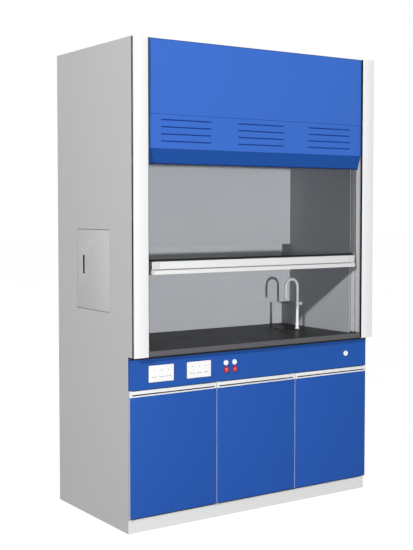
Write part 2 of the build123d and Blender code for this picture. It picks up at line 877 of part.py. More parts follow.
def gas_nozzle():
    """Wall nozzle with a flange, a ball body and a barbed hose tip that points into the chamber."""
    flange_x = liner_x - nozzle_flange_height
    ball_x = flange_x - nozzle_stem_length
    nozzle = round_x(nozzle_y, nozzle_z, flange_x, liner_x, nozzle_flange_radius)
    nozzle += round_x(nozzle_y, nozzle_z, ball_x, liner_outer_x + nozzle_nut_height, nozzle_stem_radius)
    nozzle += round_x(nozzle_y, nozzle_z, liner_outer_x, liner_outer_x + nozzle_nut_height, nozzle_nut_radius)
    nozzle += Pos(ball_x, nozzle_y, nozzle_z) * Sphere(nozzle_ball_radius)
    tip_end = ball_x - nozzle_tip_length
    nozzle += round_x(nozzle_y, nozzle_z, tip_end, ball_x, nozzle_tip_radius * 0.7)
    barb_pitch = (nozzle_tip_length - nozzle_ball_radius) / nozzle_barb_count
    barb = Cone(nozzle_tip_radius * 0.6, nozzle_tip_radius, barb_pitch * 0.8)
    for number in range(nozzle_barb_count):
        barb_x = tip_end + barb_pitch * (number + 0.5)
        nozzle += Pos(barb_x, nozzle_y, nozzle_z) * Rot(0, 90, 0) * barb
    return nozzle


def plinth():
    """Kick plate under the doors, with a fold along its top."""
    front = block(-side_inner_x, side_inner_x, carcass_front_y, carcass_front_y + sheet, 0, plinth_height)
    top = block(
        -side_inner_x,
        side_inner_x,
        carcass_front_y + sheet,
        base_rail_y,
        plinth_height - sheet,
        plinth_height,
    )
    return front + top


def base_frame():
    """Tubes that carry the cabinet: floor rails, front uprights and the rails under the worktop."""
    front_low = base_rail_y
    front_high = base_rail_y + base_tube
    rail_bottom = plinth_height - base_tube
    rear_high = rear_inner_y
    rear_low = rear_high - base_tube
    top_low = base_top - base_tube
    top_rear_low = worktop_rear_y - base_tube
    tubes = [
        tube(-side_inner_x, side_inner_x, front_low, front_high, rail_bottom, plinth_height, sheet, "x"),
        tube(-side_inner_x, side_inner_x, rear_low, rear_high, rail_bottom, plinth_height, sheet, "x"),
        tube(-side_inner_x, side_inner_x, front_low, front_high, top_low, base_top, sheet, "x"),
        tube(-side_inner_x, side_inner_x, top_rear_low, worktop_rear_y, top_low, base_top, sheet, "x"),
    ]
    for side in (-1, 1):
        low, high = sorted((side * side_inner_x, side * (side_inner_x - base_tube)))
        tubes.append(tube(low, high, front_low, front_high, plinth_height, top_low, sheet, "z"))
        tubes.append(tube(low, high, front_high, top_rear_low, top_low, base_top, sheet, "y"))
        tubes.append(tube(low, high, front_high, rear_low, rail_bottom, plinth_height, sheet, "y"))
        middle = side * half_width / 3
        mid_low = middle - base_tube / 2
        mid_high = middle + base_tube / 2
        tubes.append(tube(mid_low, mid_high, front_high, rear_low, rail_bottom, plinth_height, sheet, "y"))
    return Compound(children=tubes)


def levelling_feet():
    """Four threaded feet under the floor rails."""
    feet = []
    rail_bottom = plinth_height - base_tube
    for side in (-1, 1):
        x = side * (half_width - foot_inset_x)
        for y in (base_rail_y + base_tube / 2, rear_inner_y - base_tube / 2):
            pad = round_z(x, y, 0, foot_height, foot_radius)
            stud = round_z(x, y, foot_height, rail_bottom, foot_stud_radius)
            nut = round_z(x, y, rail_bottom - foot_height, rail_bottom, foot_stud_radius * 1.8)
            feet.append(pad + stud + nut)
    return Compound(children=feet)


def cabinet_floor():
    """Floor tray of the cabinet, notched round the front uprights."""
    floor = block(-side_inner_x, side_inner_x, carcass_front_y, rear_inner_y - frame_tube, floor_bottom, floor_top)
    floor -= block(
        -side_inner_x + sheet,
        side_inner_x - sheet,
        carcass_front_y + sheet,
        rear_inner_y - frame_tube - sheet,
        floor_bottom - sheet,
        floor_top - sheet,
    )
    for side in (-1, 1):
        low, high = sorted((side * (side_inner_x + sheet), side * (side_inner_x - base_tube - seat_gap)))
        floor -= block(
            low,
            high,
            base_rail_y - seat_gap,
            base_rail_y + base_tube + seat_gap,
            floor_bottom - sheet,
            floor_top + sheet,
        )
    return floor


def cabinet_dividers():
    """Two hollow upright dividers between the doors."""
    dividers = []
    for side in (-1, 1):
        x = side * half_width / 3
        x0 = x - divider_width / 2
        x1 = x + divider_width / 2
        top = base_top - base_tube
        rear = worktop_rear_y - base_tube
        shell = block(x0, x1, divider_front_y, rear, floor_top, top)
        shell -= block(
            x0 + divider_skin,
            x1 - divider_skin,
            divider_front_y + divider_skin,
            rear + divider_skin,
            floor_top + divider_skin,
            top - divider_skin,
        )
        dividers.append(shell)
    return Compound(children=dividers)


def service_panel():
    """Folded panel under the worktop with cut-outs for sockets and valve spindles."""
    panel = block(-side_inner_x, side_inner_x, panel_front_y, divider_front_y, panel_bottom, panel_top)
    panel -= block(
        -side_inner_x + sheet,
        side_inner_x - sheet,
        panel_back_y,
        divider_front_y + sheet,
        panel_bottom + sheet,
        panel_top - sheet,
    )
    for x in (socket_left_x, socket_right_x):
        half_cut = socket_width / 2 - socket_box_margin + seat_gap
        rise_cut = socket_height / 2 - socket_box_margin + seat_gap
        panel -= block(
            x - half_cut,
            x + half_cut,
            panel_front_y - sheet,
            panel_back_y + sheet,
            socket_centre_z - rise_cut,
            socket_centre_z + rise_cut,
        )
    for x, z in valve_places():
        panel -= round_y(x, z, panel_front_y - sheet, panel_back_y + sheet, spindle_radius + slide_gap)
    return panel


def valve_places():
    """Spindle places of the two gas valves and the water valve."""
    return [(gas_knob_left_x, gas_knob_z), (gas_knob_right_x, gas_knob_z), (water_knob_x, water_knob_z)]


def socket(x):
    """Twin socket: a front plate with pin slots, and its box behind the panel."""
    half = socket_width / 2
    rise = socket_height / 2
    front = panel_front_y - socket_plate
    plate = block(x - half, x + half, front, panel_front_y, socket_centre_z - rise, socket_centre_z + rise)
    plate = fillet(plate.edges().filter_by(Axis.Y), socket_plate / 3)
    box = block(
        x - half + socket_box_margin,
        x + half - socket_box_margin,
        panel_front_y,
        panel_front_y + socket_box_depth,
        socket_centre_z - rise + socket_box_margin,
        socket_centre_z + rise - socket_box_margin,
    )
    plate += box
    cell = (socket_width - 2 * socket_frame_rim) / 3
    upper_z = socket_centre_z + socket_height / 5
    lower_z = socket_centre_z - socket_height / 5
    for number in (-1, 0, 1):
        pin_x = x + number * cell
        plate -= round_y(pin_x, upper_z, front - sheet, front + socket_plate, socket_pin_slot / 4)
        for side in (-1, 1):
            slot_x = pin_x + side * socket_pin_slot * 0.8
            plate -= block(
                slot_x - socket_pin_slot / 2,
                slot_x + socket_pin_slot / 2,
                front - sheet,
                front + socket_plate,
                lower_z - socket_pin_slot / 6,
                lower_z + socket_pin_slot / 6,
            )
    return plate


def index_discs():
    """Round index plates above the two gas valve knobs."""
    discs = [
        round_y(x, index_disc_z, panel_front_y - index_disc_thickness, panel_front_y, index_disc_radius)
        for x in (gas_knob_left_x, gas_knob_right_x)
    ]
    return Compound(children=discs)


def valve_bodies():
    """Valve bodies behind the panel, each with a bore for its spindle and two hose ports."""
    bodies = []
    for x, z in valve_places():
        half = valve_body_side / 2
        valve = block(x - half, x + half, panel_back_y, panel_back_y + valve_body_depth, z - half, z + half)
        port_y = panel_back_y + valve_body_depth - valve_port_inset
        port_end = half + valve_port_length
        valve += round_z(x, port_y, z - port_end, z, valve_port_radius)
        bore_end = panel_front_y - knob_standoff + spindle_length + slide_gap
        valve -= round_y(x, z, panel_back_y - sheet, bore_end, spindle_radius + running_clearance)
        bodies.append(valve)
    return Compound(children=bodies)


def gas_knob(x):
    """Red valve knob, narrow at the top and wide at its foot, on its spindle."""
    front = panel_front_y - knob_standoff - gas_knob_length
    back = panel_front_y - knob_standoff
    top_z = gas_knob_z + gas_knob_foot_drop
    low_z = gas_knob_z - gas_knob_foot_drop
    upper = round_y(x, top_z, front, back, gas_knob_radius)
    lower = round_y(x, low_z, front, back, gas_knob_foot_radius)
    reach = top_z - low_z
    lean = (gas_knob_foot_radius - gas_knob_radius) / reach if reach > 0 else 0
    lean = min(lean, 0.9)
    across = sqrt(1 - lean * lean)
    web_points = [
        (x - gas_knob_foot_radius * across, back, low_z + gas_knob_foot_radius * lean),
        (x - gas_knob_radius * across, back, top_z + gas_knob_radius * lean),
        (x + gas_knob_radius * across, back, top_z + gas_knob_radius * lean),
        (x + gas_knob_foot_radius * across, back, low_z + gas_knob_foot_radius * lean),
    ]
    web = extrude(make_face(Polyline(*web_points, close=True)), amount=gas_knob_length, dir=(0, -1, 0))
    knob = upper + lower + web
    knob = fillet(knob.faces().sort_by(Axis.Y)[0].edges(), gas_knob_length / 4)
    spindle = round_y(x, gas_knob_z, back, back + spindle_length, spindle_radius)
    return knob + spindle


def water_knob():
    """Round white knob of the tap's valve on its spindle."""
    front = panel_front_y - knob_standoff - water_knob_length
    back = panel_front_y - knob_standoff
    knob = round_y(water_knob_x, water_knob_z, front, back, water_knob_radius)
    knob = fillet(knob.faces().sort_by(Axis.Y)[0].edges(), water_knob_length / 8)
    spindle = round_y(water_knob_x, water_knob_z, back, back + spindle_length, spindle_radius)
    return knob + spindle


def door_limits(number):
    """Left and right edge of a door, with half a gap at each shared edge."""
    left = door_edges[number] + (0 if number == 0 else door_gap / 2)
    right = door_edges[number + 1] - (0 if number == 2 else door_gap / 2)
    return left, right


def door_pivot_x(number):
    """The pivot stands close to the hinge edge: left on two doors, right on the last."""
    left, right = door_limits(number)
    return right - pivot_edge_inset if number == 2 else left + pivot_edge_inset


def door(number):
    """Pan-shaped door with back returns and a pivot block at its lower hinge corner."""
    left, right = door_limits(number)
    pan = block(left, right, door_front_y, door_back_y, door_bottom, door_top)
    pan -= block(
        left + sheet,
        right - sheet,
        door_front_y + sheet,
        door_back_y - sheet,
        door_bottom + sheet,
        door_top - sheet,
    )
    pan -= block(
        left + door_return,
        right - door_return,
        door_back_y - 2 * sheet,
        door_back_y + sheet,
        door_bottom + door_return,
        door_top - door_return,
    )
    hinge_edge = right - sheet if number == 2 else left + sheet
    block_edge = hinge_edge - pivot_block_width if number == 2 else hinge_edge + pivot_block_width
    low, high = sorted((hinge_edge, block_edge))
    pan += block(
        low,
        high,
        door_front_y + sheet,
        door_back_y - sheet,
        door_bottom + sheet,
        door_bottom + pivot_block_height,
    )
    bore_top = door_bottom + pivot_pin_length + slide_gap
    bore_radius = pivot_pin_radius + running_clearance
    return pan - round_z(door_pivot_x(number), pivot_y, door_bottom - sheet, bore_top, bore_radius)


def door_handle(number):
    """Pull section along the top of a door, with its groove and the upper pivot's bore."""
    left, right = door_limits(number)
    top = door_top + handle_height
    front = door_front_y - handle_proud
    grip = block(left, right, front, door_back_y, door_top, top)
    grip = fillet(grip.edges().filter_by(Axis.X).sort_by(Axis.Y)[:2], handle_proud / 2)
    groove_top = top - handle_groove_drop
    grip -= block(
        left + handle_groove_inset,
        right - handle_groove_inset,
        front - sheet,
        front + handle_groove_depth,
        groove_top - handle_groove_height,
        groove_top,
    )
    bore_bottom = top - pivot_pin_length - slide_gap
    bore_radius = pivot_pin_radius + running_clearance
    return grip - round_z(door_pivot_x(number), pivot_y, bore_bottom, top + sheet, bore_radius)


def door_pivots():
    """Pivot plates with pins: one under each door and one over it."""
    pivots = []
    half = pivot_plate_width / 2
    for number in range(3):
        x = door_pivot_x(number)
        low_x = max(x - half, -side_inner_x)
        high_x = min(x + half, side_inner_x)
        plate_top = door_bottom - door_back_gap
        plate_bottom = plate_top - pivot_plate
        lower = block(low_x, high_x, door_front_y, door_back_y, plate_bottom, plate_top)
        lower += block(low_x, high_x, door_back_y, carcass_front_y, floor_bottom, plate_top)
        lower += round_z(x, pivot_y, plate_top, door_bottom + pivot_pin_length, pivot_pin_radius)
        upper = block(low_x, high_x, door_front_y, divider_front_y, panel_bottom - pivot_plate, panel_bottom)
        handle_top = door_top + handle_height
        upper += round_z(
            x,
            pivot_y,
            handle_top - pivot_pin_length,
            panel_bottom - pivot_plate,
            pivot_pin_radius,
        )
        pivots += [lower, upper]
    return Compound(children=pivots)


def sash_frame():
    """Edge stiles and top rail of the sash, slotted for the glass."""
    y0 = sash_y - stile_thickness / 2
    y1 = sash_y + stile_thickness / 2
    slot = glass_thickness / 2 + glass_slot_gap
    rail_bottom = sash_top_z - sash_top_rail
    frame = block(-stile_outer_x, stile_outer_x, y0, y1, rail_bottom, sash_top_z)
    for side in (-1, 1):
        low, high = sorted((side * stile_inner_x, side * stile_outer_x))
        frame += block(low, high, y0, y1, sash_rest_z, sash_top_z)
    slot_x = stile_inner_x + stile_slot_depth
    slot_top = rail_bottom + stile_slot_depth
    return frame - block(-slot_x, slot_x, sash_y - slot, sash_y + slot, sash_rest_z - sheet, slot_top)


def sash_glass():
    """Clear pane held by the stiles, the top rail and the handle bar."""
    edge_x = stile_inner_x + stile_slot_depth - glass_slot_gap
    top = sash_top_z - sash_top_rail + stile_slot_depth - glass_slot_gap
    half = glass_thickness / 2
    return block(-edge_x, edge_x, sash_y - half, sash_y + half, sash_rest_z + glass_seat, top)


def handle_bar_limits():
    """Half lengths of the handle bar's lower and upper parts."""
    lower = post_inner_x - handle_bar_end_gap
    return lower, lower - handle_bar_step


def sash_handle():
    """Hollow handle bar under the glass: a lower and an upper part with a groove between."""
    lower_end, upper_end = handle_bar_limits()
    lower_x = lower_end - end_cap_lower
    upper_x = upper_end - end_cap_upper
    front = groove_front_y - handle_bar_front
    back = groove_front_y + handle_bar_back
    split = sash_rest_z + handle_bar_groove_z
    top = sash_rest_z + handle_bar_height
    wall = handle_bar_wall
    bar = bar_shell(lower_x, front, back, sash_rest_z, split, wall)
    bar += bar_shell(upper_x, front, back, split + handle_bar_groove, top, wall)
    neck_front = front + handle_bar_groove * 1.5
    bar += block(-upper_x, upper_x, neck_front, back, split - wall, split + handle_bar_groove + wall)
    slot = glass_thickness / 2 + glass_slot_gap
    web_x = lower_x + end_cap_lower
    glass_y0 = sash_y - slot - wall
    glass_y1 = min(sash_y + slot + wall, back)
    bar += block(-upper_x, upper_x, glass_y0, glass_y1, sash_rest_z, top)
    bar -= block(-web_x, web_x, sash_y - slot, sash_y + slot, sash_rest_z + glass_seat, top + sheet)
    return bar


def bar_shell(half, front, back, bottom, top, wall):
    """A hollow rectangular bar, rounded a little along its front edges."""
    bar = block(-half, half, front, back, bottom, top)
    bar = fillet(bar.edges().filter_by(Axis.X).sort_by(Axis.Y)[:2], wall * 0.8)
    return bar - block(-half - wall, half + wall, front + wall, back - wall, bottom + wall, top - wall)


def sash_end_caps():
    """Plastic caps that close both ends of the handle bar."""
    lower_end, upper_end = handle_bar_limits()
    front = groove_front_y - handle_bar_front
    back = sash_y - glass_thickness / 2 - glass_slot_gap - handle_bar_wall
    split = sash_rest_z + handle_bar_groove_z
    top = sash_rest_z + handle_bar_height
    cap = block(upper_end - end_cap_upper, upper_end, front, back, split + handle_bar_groove, top)
    cap += block(lower_end - end_cap_lower, lower_end, front, back, sash_rest_z, split)
    neck_front = front + handle_bar_groove * 1.5
    cap += block(lower_end - end_cap_lower, upper_end, neck_front, back, split, split + handle_bar_groove)
    return Compound(children=[cap, mirrored(cap)])


def sash_mass():
    """Mass of everything that hangs on the cables, in kilograms."""
    metal = (solids["sash_frame"].volume + solids["sash_handle"].volume) * aluminium_density
    pane = solids["sash_glass"].volume * glass_density
    caps = sum(solid.volume for solid in solids["sash_end_caps"].solids()) * plastic_density
    return metal + pane + caps


def counterweight():
    """Right counterweight bar, as heavy as half the sash, with a cable hole."""
    height = sash_mass() / 2 / (weight_width * weight_depth * steel_density)
    return block(
        weight_x - weight_width / 2,
        weight_x + weight_width / 2,
        sash_y - weight_depth / 2,
        sash_y + weight_depth / 2,
        weight_top_rest - height,
        weight_top_rest,
    )


def pulley():
    """Right grooved pulley with its axle bore."""
    groove_radius = pulley_radius - cable_radius - cable_groove_gap
    rim_radius = pulley_radius + pulley_flange
    half = pulley_width / 2
    wheel = round_y(pulley_x, pulley_z, sash_y - half, sash_y + half, groove_radius)
    for side in (-1, 1):
        low, high = sorted((sash_y + side * half, sash_y + side * (half - pulley_cheek)))
        wheel += round_y(pulley_x, pulley_z, low, high, rim_radius)
    bore_radius = pulley_axle_radius + running_clearance
    return wheel - round_y(pulley_x, pulley_z, sash_y - pulley_width, sash_y + pulley_width, bore_radius)


def pulley_brackets():
    """Forked brackets under the roof that carry the pulleys on their axles."""
    half_gap = pulley_width / 2 + pulley_bracket_gap
    outer = half_gap + pulley_bracket_plate
    half_width_x = pulley_bracket_width / 2
    fork = block(
        pulley_x - half_width_x,
        pulley_x + half_width_x,
        sash_y - outer,
        sash_y + outer,
        pulley_z - pulley_axle_radius * 2,
        roof_under_z,
    )
    fork -= block(
        pulley_x - half_width_x - sheet,
        pulley_x + half_width_x + sheet,
        sash_y - half_gap,
        sash_y + half_gap,
        pulley_z - pulley_axle_radius * 3,
        roof_under_z - pulley_bracket_plate,
    )
    fork += round_y(pulley_x, pulley_z, sash_y - outer, sash_y + outer, pulley_axle_radius)
    return Compound(children=[fork, mirrored(fork)])


def sash_cables():
    """Steel cables from the sash's head over the pulleys to the counterweights."""
    rise = Line((cable_x, sash_y, sash_top_z), (cable_x, sash_y, pulley_z))
    over = ThreePointArc(
        (cable_x, sash_y, pulley_z),
        (pulley_x, sash_y, pulley_z + pulley_radius),
        (weight_x, sash_y, pulley_z),
    )
    fall = Line((weight_x, sash_y, pulley_z), (weight_x, sash_y, weight_top_rest))
    route = Wire([rise, over, fall])
    cable = sweep(Pos(cable_x, sash_y, sash_top_z) * Circle(cable_radius), path=route)
    return Compound(children=[cable, mirrored(cable)])


solids = {}


def add_pair(name, shape):
    """Stores the right piece and its mirror image on the left."""
    solids[name + "_right"] = shape
    solids[name + "_left"] = mirrored(shape)


def build_casing():
    add_pair("side_panel", side_panel())
    add_pair("service_hatch", service_hatch())
    add_pair("post", post())
    add_pair("sash_track", sash_track())
    solids["rear_panel"] = rear_panel()
    solids["rear_panel_screws"] = rear_panel_screws()
    solids["roof_panel"] = roof_panel()
    solids["exhaust_collar"] = exhaust_collar()
    solids["fascia_panel"] = fascia_panel()
    solids["upper_frame"] = upper_frame()


def build_chamber():
    solids["liner_left"] = mirrored(side_liner())
    solids["liner_right"] = right_liner()
    solids["liner_rear"] = rear_liner()
    solids["liner_roof"] = roof_liner()
    solids["baffle_upper"] = upper_baffle()
    solids["baffle_middle"] = middle_baffle()
    solids["baffle_spacers"] = baffle_spacers()
    solids["lamp_housing"] = lamp_housing()
    solids["lamp_tube"] = lamp_tube()
    solids["lamp_diffuser"] = lamp_diffuser()
    solids["gas_nozzle"] = gas_nozzle()


def build_bench():
    solids["worktop"] = worktop()
    solids["cup_sink"] = cup_sink()
    solids["sink_trap"] = sink_trap()
    solids["tap_base"] = tap_base()
    solids["tap_spout"] = tap_spout()
    solids["plinth"] = plinth()
    solids["base_frame"] = base_frame()
    solids["levelling_feet"] = levelling_feet()
    solids["cabinet_floor"] = cabinet_floor()
    solids["cabinet_dividers"] = cabinet_dividers()
    solids["door_pivots"] = door_pivots()
    for number, place in enumerate(("left", "middle", "right")):
        solids["door_" + place] = door(number)
        solids["door_handle_" + place] = door_handle(number)


def build_services():
    solids["service_panel"] = service_panel()
    solids["socket_left"] = socket(socket_left_x)
    solids["socket_right"] = socket(socket_right_x)
    solids["index_discs"] = index_discs()
    solids["valve_bodies"] = valve_bodies()
    solids["gas_knob_left"] = gas_knob(gas_knob_left_x)
    solids["gas_knob_right"] = gas_knob(gas_knob_right_x)
    solids["water_knob"] = water_knob()


def build_sash():
    solids["sash_frame"] = sash_frame()
    solids["sash_glass"] = sash_glass()
    solids["sash_handle"] = sash_handle()
    solids["sash_end_caps"] = sash_end_caps()
    solids["pulley_brackets"] = pulley_brackets()
    solids["sash_cables"] = sash_cables()
    add_pair("pulley", pulley())
    add_pair("counterweight", counterweight())


build_casing()
build_chamber()
build_bench()
build_services()
build_sash()

os.makedirs("parts", exist_ok=True)
for name, shape in solids.items():
    export_step(shape, "parts/" + name + ".step")
print("pieces:", len(solids), "sash mass kg:", round(sash_mass(), 2))
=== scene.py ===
import json
import math
import bmesh
import bpy
from mathutils import Matrix, Vector


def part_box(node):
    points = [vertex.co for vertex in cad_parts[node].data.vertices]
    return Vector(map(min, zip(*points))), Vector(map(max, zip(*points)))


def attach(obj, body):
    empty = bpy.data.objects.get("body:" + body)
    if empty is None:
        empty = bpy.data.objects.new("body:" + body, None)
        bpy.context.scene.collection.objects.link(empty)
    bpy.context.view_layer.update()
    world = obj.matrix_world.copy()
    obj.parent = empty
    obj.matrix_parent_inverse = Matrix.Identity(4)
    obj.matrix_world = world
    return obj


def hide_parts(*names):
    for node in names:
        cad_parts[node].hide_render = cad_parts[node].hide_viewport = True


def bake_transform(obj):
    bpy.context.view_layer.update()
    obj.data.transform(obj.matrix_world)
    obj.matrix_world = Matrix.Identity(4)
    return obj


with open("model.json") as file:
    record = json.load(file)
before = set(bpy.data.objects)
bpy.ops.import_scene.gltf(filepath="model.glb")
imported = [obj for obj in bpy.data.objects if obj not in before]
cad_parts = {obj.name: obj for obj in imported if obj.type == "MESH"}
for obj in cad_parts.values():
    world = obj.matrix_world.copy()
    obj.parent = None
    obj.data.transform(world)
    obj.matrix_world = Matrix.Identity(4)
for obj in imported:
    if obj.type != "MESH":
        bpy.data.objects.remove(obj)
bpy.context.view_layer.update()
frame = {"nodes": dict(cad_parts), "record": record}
nodes = frame["nodes"]
print("frame loaded:", len(nodes), "nodes")

# Camera at the photograph's viewing angle, for an image of 413 x 550
view = {
    "place": (-3.178, -4.582, 1.549),
    "pitchDown": 2.81,
    "turn": -34.13,
    "lens": 67.99,
    "sensor": 36.0,
    "shiftX": -0.0007,
    "shiftY": -0.0271,
    "reach": 200.0,
}


def makeCamera():
    data = bpy.data.cameras.new("viewCamera")
    data.lens = view["lens"]
    data.sensor_width = view["sensor"]
    data.sensor_fit = "AUTO"
    data.shift_x = view["shiftX"]
    data.shift_y = view["shiftY"]
    data.clip_end = view["reach"]
    camera = bpy.data.objects.new("viewCamera", data)
    camera.location = view["place"]
    camera.rotation_euler = (math.radians(90 - view["pitchDown"]), 0, math.radians(view["turn"]))
    bpy.context.scene.collection.objects.link(camera)
    bpy.context.scene.camera = camera


makeCamera()
print("camera placed")


# Node helpers

def addNode(tree, kind, x=0, y=0, **settings):
    node = tree.nodes.new(kind)
    node.location = (x, y)
    for key, value in settings.items():
        setattr(node, key, value)
    return node


def join(tree, source, target):
    # source is another socket, or a plain value for this one
    if isinstance(source, bpy.types.NodeSocket):
        tree.links.new(source, target)
    else:
        target.default_value = source


def joinAll(tree, node, **sources):
    # an underscore in a title stands for a space
    for title, source in sources.items():
        join(tree, source, node.inputs[title.replace("_", " ")])


def mathOn(tree, operation, values, x, y):
    node = addNode(tree, "ShaderNodeMath", x, y, operation=operation)
    for value, target in zip(values, node.inputs):
        join(tree, value, target)
    return node.outputs[0]


wholeSpan = (0.0, 1.0)


def rangeOn(tree, value, spanFrom, spanTo, x, y):
    node = addNode(tree, "ShaderNodeMapRange", x, y)
    join(tree, value, node.inputs["Value"])
    for title, number in zip(("From Min", "From Max", "To Min", "To Max"), spanFrom + spanTo):
        join(tree, number, node.inputs[title])
    return node.outputs["Result"]


def mixOn(tree, share, first, second, x, y):
    # sockets 6 and 7 are the two colours, and output 2 is theirs
    node = addNode(tree, "ShaderNodeMix", x, y, data_type="RGBA")
    join(tree, share, node.inputs["Factor"])
    join(tree, first, node.inputs[6])
    join(tree, second, node.inputs[7])
    return node.outputs[2]


def centred(tree, value, amount, centre, x, y):
    # centre + (value - 0.5) * amount
    shifted = mathOn(tree, "SUBTRACT", (value, 0.5), x, y)
    return mathOn(tree, "MULTIPLY_ADD", (shifted, amount, centre), x + 160, y)


def toneBy(tree, colour, value, x, y):
    tone = addNode(tree, "ShaderNodeHueSaturation", x, y)
    joinAll(tree, tone, Color=colour, Value=value)
    return tone.outputs["Color"]


def facingMask(tree, axis, start, full, bothWays, x, y):
    # 1 on faces whose object normal has turned past full along the axis
    coordinates = addNode(tree, "ShaderNodeTexCoord", x - 400, y)
    parts = addNode(tree, "ShaderNodeSeparateXYZ", x - 200, y)
    join(tree, coordinates.outputs["Normal"], parts.inputs[0])
    along = parts.outputs[axis]
    if bothWays:
        along = mathOn(tree, "ABSOLUTE", (along,), x, y)
    return rangeOn(tree, along, (start, full), wholeSpan, x + 200, y)


def seen(red, green, blue):
    # a colour as the eye reads it, 0 to 255, in the shader's linear scale
    def lift(part):
        part = part / 255
        return part / 12.92 if part <= 0.04045 else ((part + 0.055) / 1.055) ** 2.4
    return (lift(red), lift(green), lift(blue), 1.0)


def startGroup(name, outputs, **inputs):
    # the effect's own inputs come out as given, and what it gives goes into leave
    group = bpy.data.node_groups.new(name, "ShaderNodeTree")
    for title, value in inputs.items():
        kind = "Float" if isinstance(value, float) else {3: "Vector", 4: "Color"}[len(value)]
        title = title.replace("_", " ")
        socket = group.interface.new_socket(title, in_out="INPUT", socket_type="NodeSocket" + kind)
        socket.default_value = value
    for title in outputs:
        kind = "Color" if title == "Colour" else "Float"
        group.interface.new_socket(title, in_out="OUTPUT", socket_type="NodeSocket" + kind)
    entry = addNode(group, "NodeGroupInput", -900)
    leave = addNode(group, "NodeGroupOutput", 900)
    return group, entry.outputs, leave


# Shared effects: scale and detail of each noise, and the ranges that the masks run over
grain = {
    "paintDrift": (2.3, 4.0),
    "paintSmear": (9.0, 5.0),
    "paintPeel": (420.0, 2.0),
    "brushStreak": (12.0, 6.0),
    "fleckFine": (700.0, 1.0),
    "fleckCloud": (3.1, 3.0),
    "fleckSmear": (11.0, 4.0),
    "edgePatches": (35.0, 4.0),
    "dustPatches": (14.0, 6.0),
    "paneWipes": (6.0, 5.0),
}
spread = {
    "fleckSharp": (0.56, 0.7),
    "fleckTone": (0.95, 1.05),
    "fleckSmear": 0.12,
    "edgeRadius": 0.0018,
    "edgeTurn": (0.995, 0.86),
    "dustSlope": (0.4, 1.0),
    "paneGloss": (0.0, 0.03),
}
coatOutputs = ("Colour", "Roughness", "Height")


def objectPlace(tree, x=-900, y=-300):
    return addNode(tree, "ShaderNodeTexCoord", x, y).outputs["Object"]


def noiseOn(tree, place, kind, x, y, scale=None):
    usualScale, detail = grain[kind]
    noise = addNode(tree, "ShaderNodeTexNoise", x, y)
    joinAll(tree, noise, Vector=place, Scale=usualScale if scale is None else scale, Detail=detail)
    return noise.outputs["Fac"]


def buildPaintFilm():
    # sprayed powder coat: slow colour drift, handling smears in the gloss, orange peel
    group, given, leave = startGroup(
        "paintFilm", coatOutputs, Colour=(0.8, 0.8, 0.8, 1), Drift=0.05, Gloss=0.4, Smear=0.12, Peel_Scale=420.0
    )
    place = objectPlace(group)
    slow = noiseOn(group, place, "paintDrift", -600, 200)
    value = centred(group, slow, given["Drift"], 1.0, -380, 200)
    colour = toneBy(group, given["Colour"], value, 0, 200)
    smear = noiseOn(group, place, "paintSmear", -600, -100)
    gloss = centred(group, smear, given["Smear"], given["Gloss"], -380, -100)
    peel = noiseOn(group, place, "paintPeel", -600, -400, given["Peel Scale"])
    joinAll(group, leave, Colour=colour, Roughness=gloss, Height=peel)
    return group


def buildBrushLines():
    # drawn or rolled metal: long streaks along the axis that Stretch keeps small
    group, given, leave = startGroup(
        "brushLines", coatOutputs, Colour=(0.6, 0.6, 0.6, 1), Stretch=(60.0, 60.0, 1.0), Depth=0.25, Gloss=0.35
    )
    drawn = addNode(group, "ShaderNodeVectorMath", -700, -300, operation="MULTIPLY")
    join(group, objectPlace(group), drawn.inputs[0])
    join(group, given["Stretch"], drawn.inputs[1])
    streak = noiseOn(group, drawn.outputs[0], "brushStreak", -500, 0)
    value = centred(group, streak, given["Depth"], 1.0, -280, 200)
    colour = toneBy(group, given["Colour"], value, 100, 200)
    gloss = centred(group, streak, given["Depth"], given["Gloss"], -280, -100)
    joinAll(group, leave, Colour=colour, Roughness=gloss, Height=streak)
    return group


def buildFleck():
    # pressed resin or fired board: small flecks and a soft cloud under them
    group, given, leave = startGroup(
        "fleckBoard", coatOutputs,
        Colour=(0.1, 0.1, 0.1, 1), Fleck=(0.3, 0.3, 0.3, 1), Amount=0.3, Fleck_Scale=700.0, Gloss=0.3,
    )
    place = objectPlace(group)
    fine = noiseOn(group, place, "fleckFine", -600, 300, given["Fleck Scale"])
    sharp = rangeOn(group, fine, spread["fleckSharp"], wholeSpan, -400, 300)
    share = mathOn(group, "MULTIPLY", (sharp, given["Amount"]), -200, 300)
    mixed = mixOn(group, share, given["Colour"], given["Fleck"], 50, 250)
    cloud = noiseOn(group, place, "fleckCloud", -600, 0)
    drift = rangeOn(group, cloud, wholeSpan, spread["fleckTone"], -400, 0)
    colour = toneBy(group, mixed, drift, 350, 200)
    smear = noiseOn(group, place, "fleckSmear", -600, -300)
    gloss = mathOn(group, "MULTIPLY_ADD", (smear, spread["fleckSmear"], given["Gloss"]), -400, -300)
    joinAll(group, leave, Colour=colour, Roughness=gloss, Height=fine)
    return group


def mixPatches(group, given, leave, mask, patches, other):
    # brings the other colour in where the mask and the patches agree
    broken = mathOn(group, "MULTIPLY", (mask, patches), -100, 0)
    share = mathOn(group, "MULTIPLY", (broken, given["Amount"]), 80, 0)
    mixed = mixOn(group, share, given["Colour"], given[other], 300, 0)
    join(group, mixed, leave.inputs["Colour"])


